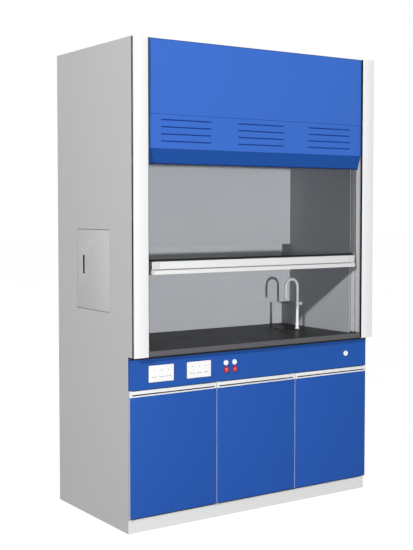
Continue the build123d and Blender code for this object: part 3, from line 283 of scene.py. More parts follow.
def buildEdgeWearAndHighlight():
    # thinner, lighter coat along folds and corners, broken up by noise: partly wear, partly a painted highlight on
    # the edges
    group, given, leave = startGroup(
        "edgeWearAndHighlight", ("Colour",), Colour=(0.8, 0.8, 0.8, 1), Edge_Colour=(0.9, 0.9, 0.9, 1), Amount=0.4
    )
    rounded = addNode(group, "ShaderNodeBevel", -700, 0, samples=3)
    join(group, spread["edgeRadius"], rounded.inputs["Radius"])
    plain = addNode(group, "ShaderNodeNewGeometry", -700, -200)
    alike = addNode(group, "ShaderNodeVectorMath", -500, 0, operation="DOT_PRODUCT")
    join(group, rounded.outputs["Normal"], alike.inputs[0])
    join(group, plain.outputs["Normal"], alike.inputs[1])
    edge = rangeOn(group, alike.outputs["Value"], spread["edgeTurn"], wholeSpan, -300, 0)
    patches = noiseOn(group, objectPlace(group), "edgePatches", -500, -400)
    mixPatches(group, given, leave, edge, patches, "Edge Colour")
    return group


def buildDustFall():
    # a thin film of dust on what faces up
    group, given, leave = startGroup(
        "dustFall", ("Colour",), Colour=(0.8, 0.8, 0.8, 1), Dust_Colour=(0.6, 0.58, 0.55, 1), Amount=0.15
    )
    facing = facingMask(group, "Z", *spread["dustSlope"], False, -500, 0)
    patches = noiseOn(group, objectPlace(group), "dustPatches", -500, -300)
    mixPatches(group, given, leave, facing, patches, "Dust Colour")
    return group


effects = {
    "paint": buildPaintFilm(),
    "brush": buildBrushLines(),
    "fleck": buildFleck(),
    "edge": buildEdgeWearAndHighlight(),
    "dust": buildDustFall(),
}
print("shared effects built:", len(effects))


# Finishes: strength and depth in metres of each relief, and what wear and the painted edge highlight do to a coat
relief = {
    "paint": (0.25, 0.00012),
    "twoTone": (0.25, 0.0001),
    "board": (0.3, 0.00005),
    "metal": (0.25, 0.00006),
    "plastic": (0.2, 0.00006),
}
wearAndHighlight = {
    # the paler edge colours are partly wear, partly painted highlight
    "paintPaler": 34,
    "paintDust": 0.15,
    "plasticPaler": 50,
    "plasticSmear": 0.08,
    "plasticPeel": 900.0,
    "plasticDrift": 0.03,
    "lacquerGloss": 0.15,
}


def startMaterial(name):
    material = bpy.data.materials.new(name)
    material.use_nodes = True
    tree = material.node_tree
    tree.nodes.clear()
    output = addNode(tree, "ShaderNodeOutputMaterial", 900)
    surface = addNode(tree, "ShaderNodeBsdfPrincipled", 500)
    join(tree, surface.outputs[0], output.inputs["Surface"])
    return material, tree, surface


def useEffect(tree, effect, x, y, **values):
    node = addNode(tree, "ShaderNodeGroup", x, y)
    node.node_tree = effects[effect]
    joinAll(tree, node, **values)
    return node


def addRelief(tree, surface, base, kind):
    strength, depth = relief[kind]
    bump = addNode(tree, "ShaderNodeBump", 250, -300)
    joinAll(tree, bump, Strength=strength, Distance=depth, Height=base.outputs["Height"])
    joinAll(tree, surface, Normal=bump.outputs[0])


def layered(tree, surface, base, kind, edgeColour=None, edgeAmount=0.0, dustAmount=0.0):
    # edge wear with its painted highlight, dust and relief over a base effect, into the shader
    colour = base.outputs["Colour"]
    if edgeAmount > 0:
        edge = useEffect(tree, "edge", -50, 100, Colour=colour, Edge_Colour=edgeColour, Amount=edgeAmount)
        colour = edge.outputs["Colour"]
    if dustAmount > 0:
        dust = useEffect(tree, "dust", 200, 100, Colour=colour, Amount=dustAmount)
        colour = dust.outputs["Colour"]
    joinAll(tree, surface, Base_Color=colour, Roughness=base.outputs["Roughness"])
    addRelief(tree, surface, base, kind)


def paler(colour, amount):
    return seen(*[min(255, part + amount) for part in colour])


def paintedSteel(name, colour, gloss=0.42, drift=0.05, edgeAmount=0.5, specular=0.4):
    material, tree, surface = startMaterial(name)
    film = useEffect(tree, "paint", -300, 100, Colour=seen(*colour), Drift=drift, Gloss=gloss)
    layered(tree, surface, film, "paint", paler(colour, wearAndHighlight["paintPaler"]), edgeAmount, wearAndHighlight["paintDust"])
    joinAll(tree, surface, Specular_IOR_Level=specular)
    return material


def twoTone(name, effect, main, other, facing, specular, **values):
    # one coat in two colours, parted by the way each face is turned; on the fascia's foot the second colour is
    # painted shade, on the worktop's front edge painted light
    material, tree, surface = startMaterial(name)
    first = useEffect(tree, effect, -500, 250, Colour=seen(*main), **values)
    second = useEffect(tree, effect, -500, -150, Colour=seen(*other), **values)
    mask = facingMask(tree, *facing, -300, 600)
    mixed = mixOn(tree, mask, first.outputs["Colour"], second.outputs["Colour"], 50, 300)
    joinAll(
        tree, surface, Base_Color=mixed, Roughness=first.outputs["Roughness"], Specular_IOR_Level=specular
    )
    addRelief(tree, surface, first, "twoTone")
    return material


def boardFinish(name, colour, fleck, amount, scale, gloss, specular):
    material, tree, surface = startMaterial(name)
    board = useEffect(
        tree, "fleck", -300, 100,
        Colour=seen(*colour), Fleck=seen(*fleck), Amount=amount, Fleck_Scale=scale, Gloss=gloss,
    )
    layered(tree, surface, board, "board")
    joinAll(tree, surface, Specular_IOR_Level=specular)
    return material


def bareMetal(name, colour, stretch, gloss, depth=0.25, dustAmount=0.0):
    material, tree, surface = startMaterial(name)
    lines = useEffect(
        tree, "brush", -300, 100, Colour=seen(*colour), Stretch=stretch, Depth=depth, Gloss=gloss
    )
    layered(tree, surface, lines, "metal", dustAmount=dustAmount)
    joinAll(tree, surface, Metallic=1.0)
    return material


def mouldedPlastic(name, colour, gloss, coat=0.0, edgeAmount=0.0, specular=0.5):
    material, tree, surface = startMaterial(name)
    film = useEffect(
        tree, "paint", -300, 100,
        Colour=seen(*colour), Drift=wearAndHighlight["plasticDrift"], Gloss=gloss,
        Smear=wearAndHighlight["plasticSmear"], Peel_Scale=wearAndHighlight["plasticPeel"],
    )
    layered(tree, surface, film, "plastic", paler(colour, wearAndHighlight["plasticPaler"]), edgeAmount)
    joinAll(
        tree, surface, Specular_IOR_Level=specular, Coat_Weight=coat, Coat_Roughness=wearAndHighlight["lacquerGloss"]
    )
    return material


def clearGlass(name, tint, bend):
    # wipe marks on the pane show only in its gloss
    material, tree, surface = startMaterial(name)
    wipes = noiseOn(tree, objectPlace(tree, -700, -100), "paneWipes", -500, -100)
    gloss = rangeOn(tree, wipes, wholeSpan, spread["paneGloss"], -250, -100)
    joinAll(tree, surface, Base_Color=seen(*tint), Roughness=gloss, Transmission_Weight=1.0, IOR=bend)
    return material


finishes = {
    "casing_grey": paintedSteel("casingGrey", (217, 217, 217), gloss=0.55, drift=0.04, specular=0.2),
    "post_white": paintedSteel("postWhite", (241, 241, 241), drift=0.02, specular=0.25),
    # the fascia's foot leans to the floor; its darker blue is painted shade
    "fascia_blue": twoTone(
        "fasciaBlue", "paint", (62, 110, 201), (34, 82, 161), ("Z", -0.12, -0.25, False), 0.06,
        Drift=0.04, Gloss=0.5,
    ),
    # the doors' folded sides keep the pale colour of their edging
    "door_blue": twoTone(
        "doorBlue", "paint", (42, 90, 176), (206, 212, 236), ("X", 0.75, 0.85, True), 0.06,
        Drift=0.04, Gloss=0.45,
    ),
    "service_blue": paintedSteel("serviceBlue", (42, 91, 175), gloss=0.5, edgeAmount=0.3, specular=0.06),
    "plinth_white": paintedSteel("plinthWhite", (230, 230, 229), gloss=0.55, edgeAmount=0.7, specular=0.2),
    "liner_grey": boardFinish("linerGrey", (221, 224, 229), (206, 209, 214), 0.35, 620.0, 0.5, 0.15),
    "baffle_grey": boardFinish("baffleGrey", (215, 218, 223), (200, 203, 208), 0.35, 620.0, 0.5, 0.15),
    # painted light and shade: the worktop's front edge is painted paler and its top darker, for how light falls on
    # each
    "worktop_black": twoTone(
        "worktopBlack", "fleck", (40, 41, 40), (97, 97, 100), ("Y", -0.6, -0.85, False), 0.04,
        Fleck=seen(122, 124, 126), Amount=0.25, Fleck_Scale=900.0, Gloss=0.34,
    ),
    "sink_black": boardFinish("sinkBlack", (40, 40, 41), (66, 66, 68), 0.3, 800.0, 0.4, 0.2),
    "trap_grey": mouldedPlastic("trapGrey", (142, 144, 146), 0.45),
    "tap_white": paintedSteel("tapWhite", (254, 254, 254), gloss=0.2, drift=0.02, edgeAmount=0.2, specular=0.5),
    "track_grey": paintedSteel("trackGrey", (214, 216, 218), gloss=0.4, drift=0.03, specular=0.3),
    "sash_aluminium": paintedSteel("sashWhite", (230, 230, 230), gloss=0.4, drift=0.02, edgeAmount=0.4),
    "sash_glass": clearGlass("sashPane", (250, 253, 252), 1.15),
    "cap_grey": mouldedPlastic("capGrey", (216, 216, 214), 0.45),
    "handle_white": paintedSteel("handleWhite", (240, 241, 242), gloss=0.4, drift=0.02, edgeAmount=0.4),
    "frame_steel": bareMetal("frameSteel", (168, 170, 173), (30.0, 30.0, 3.0), 0.5, depth=0.4),
    "weight_steel": bareMetal("weightSteel", (112, 113, 116), (40.0, 40.0, 4.0), 0.55, 0.5, dustAmount=0.3),
    "cable_steel": bareMetal("cableSteel", (168, 169, 171), (200.0, 200.0, 400.0), 0.35, depth=0.6),
    "pulley_plastic": mouldedPlastic("pulleyPlastic", (219, 219, 212), 0.5),
    "socket_white": mouldedPlastic("socketWhite", (252, 252, 253), 0.3, edgeAmount=0.1),
    "disc_white": mouldedPlastic("discWhite", (252, 253, 254), 0.3),
    "knob_red": mouldedPlastic("knobRed", (196, 14, 26), 0.22, coat=0.5, edgeAmount=0.1),
    "knob_white": mouldedPlastic("knobWhite", (251, 251, 251), 0.3),
    "valve_brass": bareMetal("valveBrass", (204, 170, 96), (40.0, 40.0, 8.0), 0.35),
    "collar_steel": bareMetal("collarSteel", (180, 182, 184), (1.0, 1.0, 60.0), 0.42, dustAmount=0.2),
    "lamp_white": paintedSteel("lampWhite", (236, 236, 236), gloss=0.5),
    "lamp_glass": mouldedPlastic("lampGlass", (246, 246, 242), 0.2),
    "diffuser_opal": mouldedPlastic("diffuserOpal", (240, 241, 240), 0.5),
    "screw_steel": bareMetal("screwSteel", (196, 197, 200), (90.0, 90.0, 90.0), 0.3),
}
# black rubber for the pane's seal; on the posts, the hatches' pulls and under the worktop the same black is painted
# shade
sealAndShadeBlack = mouldedPlastic("sealAndShadeRubber", (34, 35, 37), 0.7, specular=0.15)
shadowLining = mouldedPlastic("shadowLining", (58, 57, 60), 0.8, specular=0.1)
# painted shade colours: dark blue for shade lines along the fascia and round the sockets, mid blue for the shade
# inside the louvre slots
shadeEdgingBlue = mouldedPlastic("shadeEdgingBlue", (18, 40, 96), 0.6, specular=0.1)
louvreShadeBlue = mouldedPlastic("louvreShadeBlue", (32, 70, 156), 0.7, specular=0.05)
# painted shade: a darker copy of the liner board for the chamber's side walls, which stay in shade
shadedLinerBoard = boardFinish("shadedLinerBoard", (178, 181, 185), (164, 167, 171), 0.35, 620.0, 0.5, 0.1)
contactGrey = mouldedPlastic("contactGrey", (112, 114, 122), 0.5, specular=0.2)
print("finishes made:", len(finishes))


slotOf = {part["node"]: part["material_slot"] for part in frame["record"]["subparts"]}
sideWalls = ("liner_left", "liner_right")  # painted shade: the liner board painted darker on the side walls


def dressNodes():
    for name, node in nodes.items():
        node.data.materials.clear()
        node.data.materials.append(shadedLinerBoard if name in sideWalls else finishes[slotOf[name]])


dressNodes()
print("nodes dressed")


# Mesh helpers
meshing = {
    "turnMerge": 0.00001,
    "turnThinnest": 0.000005,
    "copyMerge": 0.00002,
    "copyFlat": math.radians(0.5),
    "copySharp": 0.6,
    "nearness": 0.00005,
}
hair = 0.0001  # keeps a fitted face just clear of the one that it covers
inset = 0.001  # how far a strip stops short of its part's ends
facingFront = Matrix.Rotation(math.radians(90), 4, "X")  # turns +Z to -Y, towards the user


def finishPiece(bm, name, body, slot, material=None, stands=(), smoothAngle=32):
    mesh = bpy.data.meshes.new(name)
    bm.to_mesh(mesh)
    bm.free()
    if "custom_normal" in mesh.attributes:
        mesh.attributes.remove(mesh.attributes["custom_normal"])
    mesh.shade_smooth()
    mesh.set_sharp_from_angle(angle=math.radians(smoothAngle))
    mesh.materials.clear()
    mesh.materials.append(material or finishes[slot])
    piece = bpy.data.objects.new(name, mesh)
    bpy.context.scene.collection.objects.link(piece)
    if body is not None:
        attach(piece, body)
    if stands:
        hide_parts(*stands)
    return piece


def boxOf(node):
    low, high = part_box(node)
    return low, high, (Vector(low) + Vector(high)) / 2


def addShape(bm, other):
    # moves one mesh into another, and frees it
    holder = bpy.data.meshes.new("holder")
    other.to_mesh(holder)
    other.free()
    bm.from_mesh(holder)
    bpy.data.meshes.remove(holder)
    return bm


def moveShape(bm, place, turn=None):
    matrix = Matrix.Translation(Vector(place))
    if turn is not None:
        matrix = matrix @ turn
    bmesh.ops.transform(bm, matrix=matrix, verts=bm.verts)


def placeShape(bm, other, place, turn=None):
    moveShape(other, place, turn)
    addShape(bm, other)


def bevelEdges(bm, edges, radius, segments):
    bmesh.ops.bevel(
        bm, geom=edges, offset=radius, segments=segments, profile=0.5, affect="EDGES", material=-1
    )


def turnedShape(profile, steps=32):
    # profile holds (radius, height) pairs from end to end, and starts and ends on the axis
    bm = bmesh.new()
    points = [bm.verts.new((radius, 0, height)) for radius, height in profile]
    lines = [bm.edges.new(pair) for pair in zip(points, points[1:])]
    bmesh.ops.spin(
        bm, geom=points + lines, cent=(0, 0, 0), axis=(0, 0, 1), angle=math.tau, steps=steps, use_merge=True
    )
    bmesh.ops.remove_doubles(bm, verts=bm.verts, dist=meshing["turnMerge"])
    bmesh.ops.dissolve_degenerate(bm, edges=bm.edges, dist=meshing["turnThinnest"])
    bmesh.ops.recalc_face_normals(bm, faces=bm.faces)
    return bm


def fromTop(profile, top):
    # (radius, drop) pairs turned into (radius, height)
    return [(radius, top - drop) for radius, drop in profile]


def plainBlock(low, high):
    bm = bmesh.new()
    bmesh.ops.create_cube(bm, size=1.0)
    bmesh.ops.scale(bm, vec=Vector(high) - Vector(low), verts=bm.verts)
    bmesh.ops.translate(bm, vec=(Vector(high) + Vector(low)) / 2, verts=bm.verts)
    return bm


def roundedBlock(low, high, radius, bm=None, segments=1):
    # a block between two corners with all its edges rounded, added to bm where one is given
    block = plainBlock(low, high)
    bevelEdges(block, block.edges[:], radius, segments)
    return block if bm is None else addShape(bm, block)


def openTray(low, high, openTo, wall):
    # a thin box without the wall that faces openTo
    bm = plainBlock(low, high)
    bm.normal_update()
    openFace = [face for face in bm.faces if face.normal.dot(Vector(openTo)) > 0.9]
    bmesh.ops.delete(bm, geom=openFace, context="FACES_ONLY")
    bmesh.ops.recalc_face_normals(bm, faces=bm.faces)
    bmesh.ops.solidify(bm, geom=bm.faces[:], thickness=wall)
    return bm


def rod(radius, depth, sides):
    bm = bmesh.new()
    bmesh.ops.create_cone(bm, cap_ends=True, segments=sides, radius1=radius, radius2=radius, depth=depth)
    return bm


def hexNut(radius, depth, edge):
    bm = rod(radius, depth, 6)
    bevelEdges(bm, bm.edges[:], edge, 2)
    return bm


def startRing(place, radius, sides):
    bm = bmesh.new()
    bmesh.ops.create_circle(bm, cap_ends=False, segments=sides, radius=radius)
    bmesh.ops.translate(bm, vec=place, verts=bm.verts)
    return bm


def extrudeRing(bm, ring, move):
    edges = [part for part in ring if isinstance(part, bmesh.types.BMEdge)]
    grown = bmesh.ops.extrude_edge_only(bm, edges=edges)["geom"]
    points = [part for part in grown if isinstance(part, bmesh.types.BMVert)]
    bmesh.ops.translate(bm, vec=move, verts=points)
    return [part for part in grown if not isinstance(part, bmesh.types.BMFace)]


def closeTube(bm):
    # caps on the open ends, and all faces outwards
    rims = [edge for edge in bm.edges if len(edge.link_faces) == 1]
    bmesh.ops.holes_fill(bm, edges=rims, sides=0)
    bmesh.ops.recalc_face_normals(bm, faces=bm.faces)


def close(a, b):
    return abs(a - b) < meshing["nearness"]


def partBox(node, keep):
    # lowest and highest corners of the part of a node that keep picks out
    points = [vert.co for vert in nodes[node].data.vertices if keep(vert.co)]
    lowest = Vector([min(point[axis] for point in points) for axis in range(3)])
    highest = Vector([max(point[axis] for point in points) for axis in range(3)])
    return lowest, highest


# Sheet metal with rounded folds
folds = {
    "door": 0.0016,
    "handle": 0.0008,
    "post": 0.003,
    "hatch": 0.0005,
    "grip": 0.001,
    "worktop": 0.003,
    "sink": 0.0012,
    "postUprightFrom": 0.5,
    "worktopFrontBand": 0.02,
}


def softenedCopy(node, pick, width):
    # a merged copy of a node whose picked edges are rounded as folded sheet is
    low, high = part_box(node)
    bm = bmesh.new()
    bm.from_mesh(nodes[node].data)
    bmesh.ops.remove_doubles(bm, verts=bm.verts, dist=meshing["copyMerge"])
    bmesh.ops.dissolve_limit(bm, angle_limit=meshing["copyFlat"], verts=bm.verts, edges=bm.edges)
    chosen = [
        edge
        for edge in bm.edges
        if len(edge.link_faces) == 2
        and edge.calc_face_angle() > meshing["copySharp"]
        and pick(edge.verts[0].co, edge.verts[1].co, low, high)
    ]
    bevelEdges(bm, chosen, width, 3)
    return bm


def bodyOf(node):
    for body, members in frame["record"]["behaviour"]["bodies"].items():
        if node in members:
            return body
    return "root"


def softenNode(node, name, pick, width):
    finishPiece(softenedCopy(node, pick, width), name, bodyOf(node), slotOf[node], stands=(node,))


# Which edges of a node are rounded: a and b are an edge's ends, low and high the node's box

def onFront(a, b, low, high):
    return close(a.y, low.y) and close(b.y, low.y)


def onOuterSides(a, b, low, high):
    return any(close(a.x, side) and close(b.x, side) for side in (low.x, high.x))


def postFoldEdges(a, b, low, high):
    upright = close(a.x, b.x) and abs(a.z - b.z) > folds["postUprightFrom"]
    return onFront(a, b, low, high) and upright


def worktopEdges(a, b, low, high):
    frontY = low.y + folds["worktopFrontBand"]
    level = close(a.z, b.z) and (close(a.z, high.z) or close(a.z, low.z))
    return a.y < frontY and b.y < frontY and level


def sinkEdges(a, b, low, high):
    return close(a.z, high.z) and close(b.z, high.z)


def plateRim(a, b, low, high):
    level = any(close(a.z, end) and close(b.z, end) for end in (low.z, high.z))
    return onFront(a, b, low, high) and (level or onOuterSides(a, b, low, high))


def makeSheetMetal():
    for side in ("left", "middle", "right"):
        softenNode("door_" + side, "doorSkin." + side, onFront, folds["door"])
        softenNode("door_handle_" + side, "doorPull." + side, onOuterSides, folds["handle"])
    for side in ("left", "right"):
        softenNode("post_" + side, "postCover." + side, postFoldEdges, folds["post"])
        softenNode("service_hatch_" + side, "hatchDoor." + side, onOuterSides, folds["hatch"])
    softenNode("sash_handle", "sashGrip", onFront, folds["grip"])
    softenNode("sash_end_caps", "sashGripCaps", onFront, folds["grip"])
    softenNode("worktop", "worktopSlab", worktopEdges, folds["worktop"])
    softenNode("cup_sink", "cupSinkBowl", sinkEdges, folds["sink"])


makeSheetMetal()
print("sheet metal folded")


# Swan-neck tap: foot profiles hold (radius, height) pairs, top profiles (radius, drop)
tap = {
    "pipeRadius": 0.0075,
    "pipeClear": 0.0006,
    "tipRadius": 0.0081,
    "tipOverlap": 0.006,
    "tip": [
        (0, 0.004), (0.0053, 0.004), (0.0059, 0), (0.0075, 0), (0.0081, 0.0008), (0.0081, 0.019),
        (0.0076, 0.02), (0, 0.02),
    ],
    "mouthZ": 1.042,
    "pillarFoot": [(0, 0), (0.0125, 0), (0.0125, 0.0018), (0.0117, 0.003), (0.0098, 0.0042), (0.0086, 0.0052)],
    "pillarTop": [(0.0086, 0.008), (0.0092, 0.0075), (0.0092, 0.001), (0.0084, 0), (0, 0)],
    "shankFoot": [(0, 0), (0.0092, 0), (0.01, 0.0008)],
    "shankTop": [(0.01, 0), (0, 0)],
    "shankShort": 0.0004,
    "nutRadius": 0.0178,
    "nutHigh": 0.009,
    "nutEdge": 0.0008,
    "nutDrop": 0.0047,
    "sides": 28,
    "bendSteps": 28,
}


def makeTap():
    spoutLow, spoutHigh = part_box("tap_spout")
    low, high, centre = boxOf("tap_base")
    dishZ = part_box("liner_left")[0].z  # the dished level that the tap stands on
    legX = spoutHigh.x - tap["pipeRadius"]
    tipX = spoutLow.x + tap["tipRadius"] + hair
    bendRadius = (legX - tipX) / 2
    bendZ = spoutHigh.z - tap["pipeRadius"] - bendRadius
    footZ = high.z + tap["pipeClear"]
    bm = startRing((legX, centre.y, footZ), tap["pipeRadius"], tap["sides"])
    rim = extrudeRing(bm, bm.edges[:], (0, 0, bendZ - footZ))
    turned = bmesh.ops.spin(
        bm, geom=rim, cent=(legX - bendRadius, centre.y, bendZ), axis=(0, -1, 0), angle=math.pi,
        steps=tap["bendSteps"],
    )["geom_last"]
    extrudeRing(bm, turned, (0, 0, tap["mouthZ"] + tap["tipOverlap"] - bendZ))
    closeTube(bm)
    tip = turnedShape(tap["tip"], tap["sides"])
    placeShape(bm, tip, (tipX, centre.y, tap["mouthZ"]))
    finishPiece(bm, "tapSpoutPipe", "tap_spout", "tap_white", stands=("tap_spout",), smoothAngle=40)
    pillar = turnedShape(tap["pillarFoot"] + fromTop(tap["pillarTop"], high.z - dishZ), tap["sides"])
    moveShape(pillar, (centre.x, centre.y, dishZ))
    shankHigh = dishZ - low.z - tap["shankShort"]
    shank = turnedShape(tap["shankFoot"] + fromTop(tap["shankTop"], shankHigh), tap["sides"])
    placeShape(pillar, shank, (centre.x, centre.y, low.z))
    nut = hexNut(tap["nutRadius"], tap["nutHigh"], tap["nutEdge"])
    placeShape(pillar, nut, (centre.x, centre.y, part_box("worktop")[0].z - tap["nutDrop"]))
    finishPiece(pillar, "tapPillar", "root", "tap_white", stands=("tap_base",), smoothAngle=40)


makeTap()
print("tap turned")


# Valve knobs, index discs and the water knob
knob = {
    "panelClear": 0.0015,
    "discRadius": 0.0135,
    "discFoot": [(0, 0), (0.0135, 0)],
    "discTop": [(0.0135, 0.0016), (0.013, 0.0006), (0.0119, 0), (0.0045, 0), (0.004, 0.0004), (0, 0.0004)],
    "domeTop": 0.74,
    "domeCurve": 1.5,
    "skirt": 0.003,
    "waterFoot": [(0, 0), (0.0134, 0), (0.014, 0.0006)],
    "waterTop": [(0.014, 0.003), (0.0132, 0.0012), (0.011, 0), (0.006, 0), (0.0052, 0.0006), (0, 0.0006)],
    "spindleRadius": 0.004,
}


def makeDiscs():
    low, high, centre = boxOf("index_discs")
    radius = knob["discRadius"]
    bm = bmesh.new()
    for x in (low.x + radius, high.x - radius):
        disc = turnedShape(knob["discFoot"] + fromTop(knob["discTop"], high.y - low.y), 40)
        placeShape(bm, disc, (x, high.y, centre.z), facingFront)
    finishPiece(bm, "valveIndexDiscs", "root", "disc_white", stands=("index_discs",), smoothAngle=40)


def addSpindle(bm, x, z, backY, frontY):
    radius = knob["spindleRadius"]
    length = backY - frontY
    spindle = turnedShape([(0, 0), (radius, 0), (radius, length), (0, length)], 20)
    placeShape(bm, spindle, (x, backY, z), facingFront)


def makeGasKnob(side):
    node = "gas_knob_" + side
    low, high, centre = boxOf(node)
    half = (high.x - low.x) / 2
    rise = (high.z - low.z) / 2
    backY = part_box("service_panel")[0].y - knob["panelClear"]
    bm = bmesh.new()
    bmesh.ops.create_uvsphere(bm, u_segments=40, v_segments=24, radius=1.0)
    bmesh.ops.bisect_plane(
        bm, geom=bm.verts[:] + bm.edges[:] + bm.faces[:], plane_co=(0, 0, 0), plane_no=(0, 1, 0), clear_outer=True
    )
    bmesh.ops.scale(bm, vec=(half, backY - low.y - knob["skirt"], rise), verts=bm.verts)
    for vert in bm.verts:
        share = (vert.co.z / rise + 1) / 2
        vert.co.x *= 1 - (1 - knob["domeTop"]) * share ** knob["domeCurve"]
    rim = [edge for edge in bm.edges if len(edge.link_faces) == 1]
    extrudeRing(bm, rim, (0, knob["skirt"], 0))
    closeTube(bm)
    moveShape(bm, (centre.x, backY - knob["skirt"], centre.z))
    addSpindle(bm, centre.x, centre.z, high.y, backY)
    finishPiece(bm, "gasKnobGrip." + side, node, "knob_red", stands=(node,), smoothAngle=50)


def makeWaterKnob():
    low, high, centre = boxOf("water_knob")
    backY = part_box("service_panel")[0].y - knob["panelClear"]
    bm = turnedShape(knob["waterFoot"] + fromTop(knob["waterTop"], backY - low.y), 48)
    moveShape(bm, (centre.x, backY, centre.z), facingFront)
    addSpindle(bm, centre.x, centre.z, high.y, backY)
    finishPiece(bm, "waterKnobGrip", "water_knob", "knob_white", stands=("water_knob",), smoothAngle=40)


makeDiscs()
makeGasKnob("left")
makeGasKnob("right")
makeWaterKnob()
print("knobs turned")


# Gas nozzle on the right wall
nozzle = {
    "flange": [(0, 0), (0.0105, 0), (0.0105, 0.0019), (0.0097, 0.0025), (0.0065, 0.0025)],
    "ballRadius": 0.010,
    "ballOut": 0.0105,
    "ballFrom": -49,
    "ballTo": 71,
    "ballStep": 10,
    "barbs": 3,
    "barbLip": 0.0006,
    "coreRadius": 0.003,
    "tipRadius": 0.0045,
    "tipLength": 0.028,
    "bore": [(0.0018, 0), (0.0016, 0.008), (0, 0.008)],
    "nutRadius": 0.013,
    "nutHigh": 0.0058,
    "nutEdge": 0.0006,
    "nutBack": 0.003,
    "stemRadius": 0.0065,
}


def makeNozzle():
    low, high, centre = boxOf("gas_nozzle")
    wallX = low.x + nozzle["tipLength"] + nozzle["ballOut"]
    ball = nozzle["ballRadius"]
    profile = list(nozzle["flange"])
    for degrees in range(nozzle["ballFrom"], nozzle["ballTo"] + 1, nozzle["ballStep"]):
        angle = math.radians(degrees)
        profile.append((ball * math.cos(angle), nozzle["ballOut"] + ball * math.sin(angle)))
    pitch = (nozzle["tipLength"] - ball) / nozzle["barbs"]
    for number in range(nozzle["barbs"]):
        start = nozzle["ballOut"] + ball + pitch * number
        profile += [(nozzle["coreRadius"], start), (nozzle["tipRadius"], start + nozzle["barbLip"])]
        profile.append((nozzle["coreRadius"], start + pitch))
    profile += fromTop(nozzle["bore"], nozzle["ballOut"] + nozzle["tipLength"])
    bm = turnedShape(profile, 36)
    moveShape(bm, (wallX, centre.y, centre.z), Matrix.Rotation(math.radians(-90), 4, "Y"))
    lying = Matrix.Rotation(math.radians(90), 4, "Y")
    nut = hexNut(nozzle["nutRadius"], nozzle["nutHigh"], nozzle["nutEdge"])
    placeShape(bm, nut, (high.x - nozzle["nutBack"], centre.y, centre.z), lying)
    shank = rod(nozzle["stemRadius"], high.x - wallX, 24)
    placeShape(bm, shank, ((wallX + high.x) / 2, centre.y, centre.z), lying)
    finishPiece(bm, "gasNozzleBody", "root", "tap_white", stands=("gas_nozzle",), smoothAngle=40)


makeNozzle()
print("nozzle turned")


# Counterbalance cables: each run follows what it is tied to
cable = {"radius": 0.0015, "sides": 10, "steps": 10, "turnSteps": 20}


def cableRun(name, x, y, low, high):
    bm = startRing((x, y, low), cable["radius"], cable["sides"])
    rim = bm.edges[:]
    for step in range(cable["steps"]):
        rim = extrudeRing(bm, rim, (0, 0, (high - low) / cable["steps"]))
    closeTube(bm)
    piece = finishPiece(bm, name, None, "cable_steel")
    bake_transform(piece)


def makeCables():
    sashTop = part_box("sash_frame")[1].z
    for side, sign in (("left", -1), ("right", 1)):
        pulley = boxOf("pulley_" + side)[2]
        weightHigh, weight = boxOf("counterweight_" + side)[1:]
        reach = abs(weight.x - pulley.x)
        cableRun("cableToSash." + side, pulley.x - sign * reach, pulley.y, sashTop, pulley.z)
        cableRun(
            "cableToWeight." + side, weight.x, pulley.y, weightHigh.z, pulley.z
        )
        bm = startRing((pulley.x + reach, pulley.y, pulley.z), cable["radius"], cable["sides"])
        bmesh.ops.spin(
            bm, geom=bm.verts[:] + bm.edges[:], cent=pulley, axis=(0, -1, 0), angle=math.pi,
            steps=cable["turnSteps"],
        )
        closeTube(bm)
        stands = ("sash_cables",) if side == "left" else ()
        finishPiece(bm, "cableOverPulley." + side, "root", "cable_steel", stands=stands, smoothAngle=60)


makeCables()
print("cables strung")


# Seals, and painted shade in the sash handle's groove and along the posts
seal = {
    "overHandle": 0.011,
    "overHandleFoot": 0.0002,
    "glassProud": 0.005,
    "glassClear": 0.0021,
    "glassEdge": 0.0008,
    "grooveRise": 0.020,
    "grooveHigh": 0.0055,
    "grooveBack": 0.00825,
    "grooveEnds": 0.002,
    "grooveEdge": 0.0003,
    "postInnerShade": 0.0011,
    "postInnerShadeFront": 0.0008,
    "postInnerShadeDepth": 0.015,
    "postInnerShadeEdge": 0.0004,
    "revealDepth": 0.003,
    "revealBack": 0.0002,
    "revealSides": (0.0012, 0.0125),
    "revealEdge": 0.0005,
    "capInset": 0.0018,
    "capBack": 0.0092,
    "capHigh": (0.006, 0.0004),
    "capEdge": 0.0006,
}


def makeSashSeals():
    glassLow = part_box("sash_glass")[0]
    low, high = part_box("sash_handle")
    capLow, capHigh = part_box("sash_end_caps")
    bm = roundedBlock(
        (capLow.x + inset, glassLow.y - seal["glassProud"], high.z + seal["overHandleFoot"]),
        (capHigh.x - inset, glassLow.y - seal["glassClear"], high.z + seal["overHandle"]),
        seal["glassEdge"],
        segments=3,
    )
    finishPiece(bm, "glassSeal", "sash", "sash_glass", material=sealAndShadeBlack)
    # painted shade: a grey strip at the back of the handle's groove stands for the shade in it
    stripLow = low.z + seal["grooveRise"]
    strip = roundedBlock(
        (low.x + seal["grooveEnds"], low.y + seal["grooveBack"] - inset, stripLow),
        (high.x - seal["grooveEnds"], low.y + seal["grooveBack"] - hair, stripLow + seal["grooveHigh"]),
        seal["grooveEdge"],
    )
    finishPiece(strip, "handleGrooveShade", "sash", "sash_aluminium", material=finishes["trap_grey"])


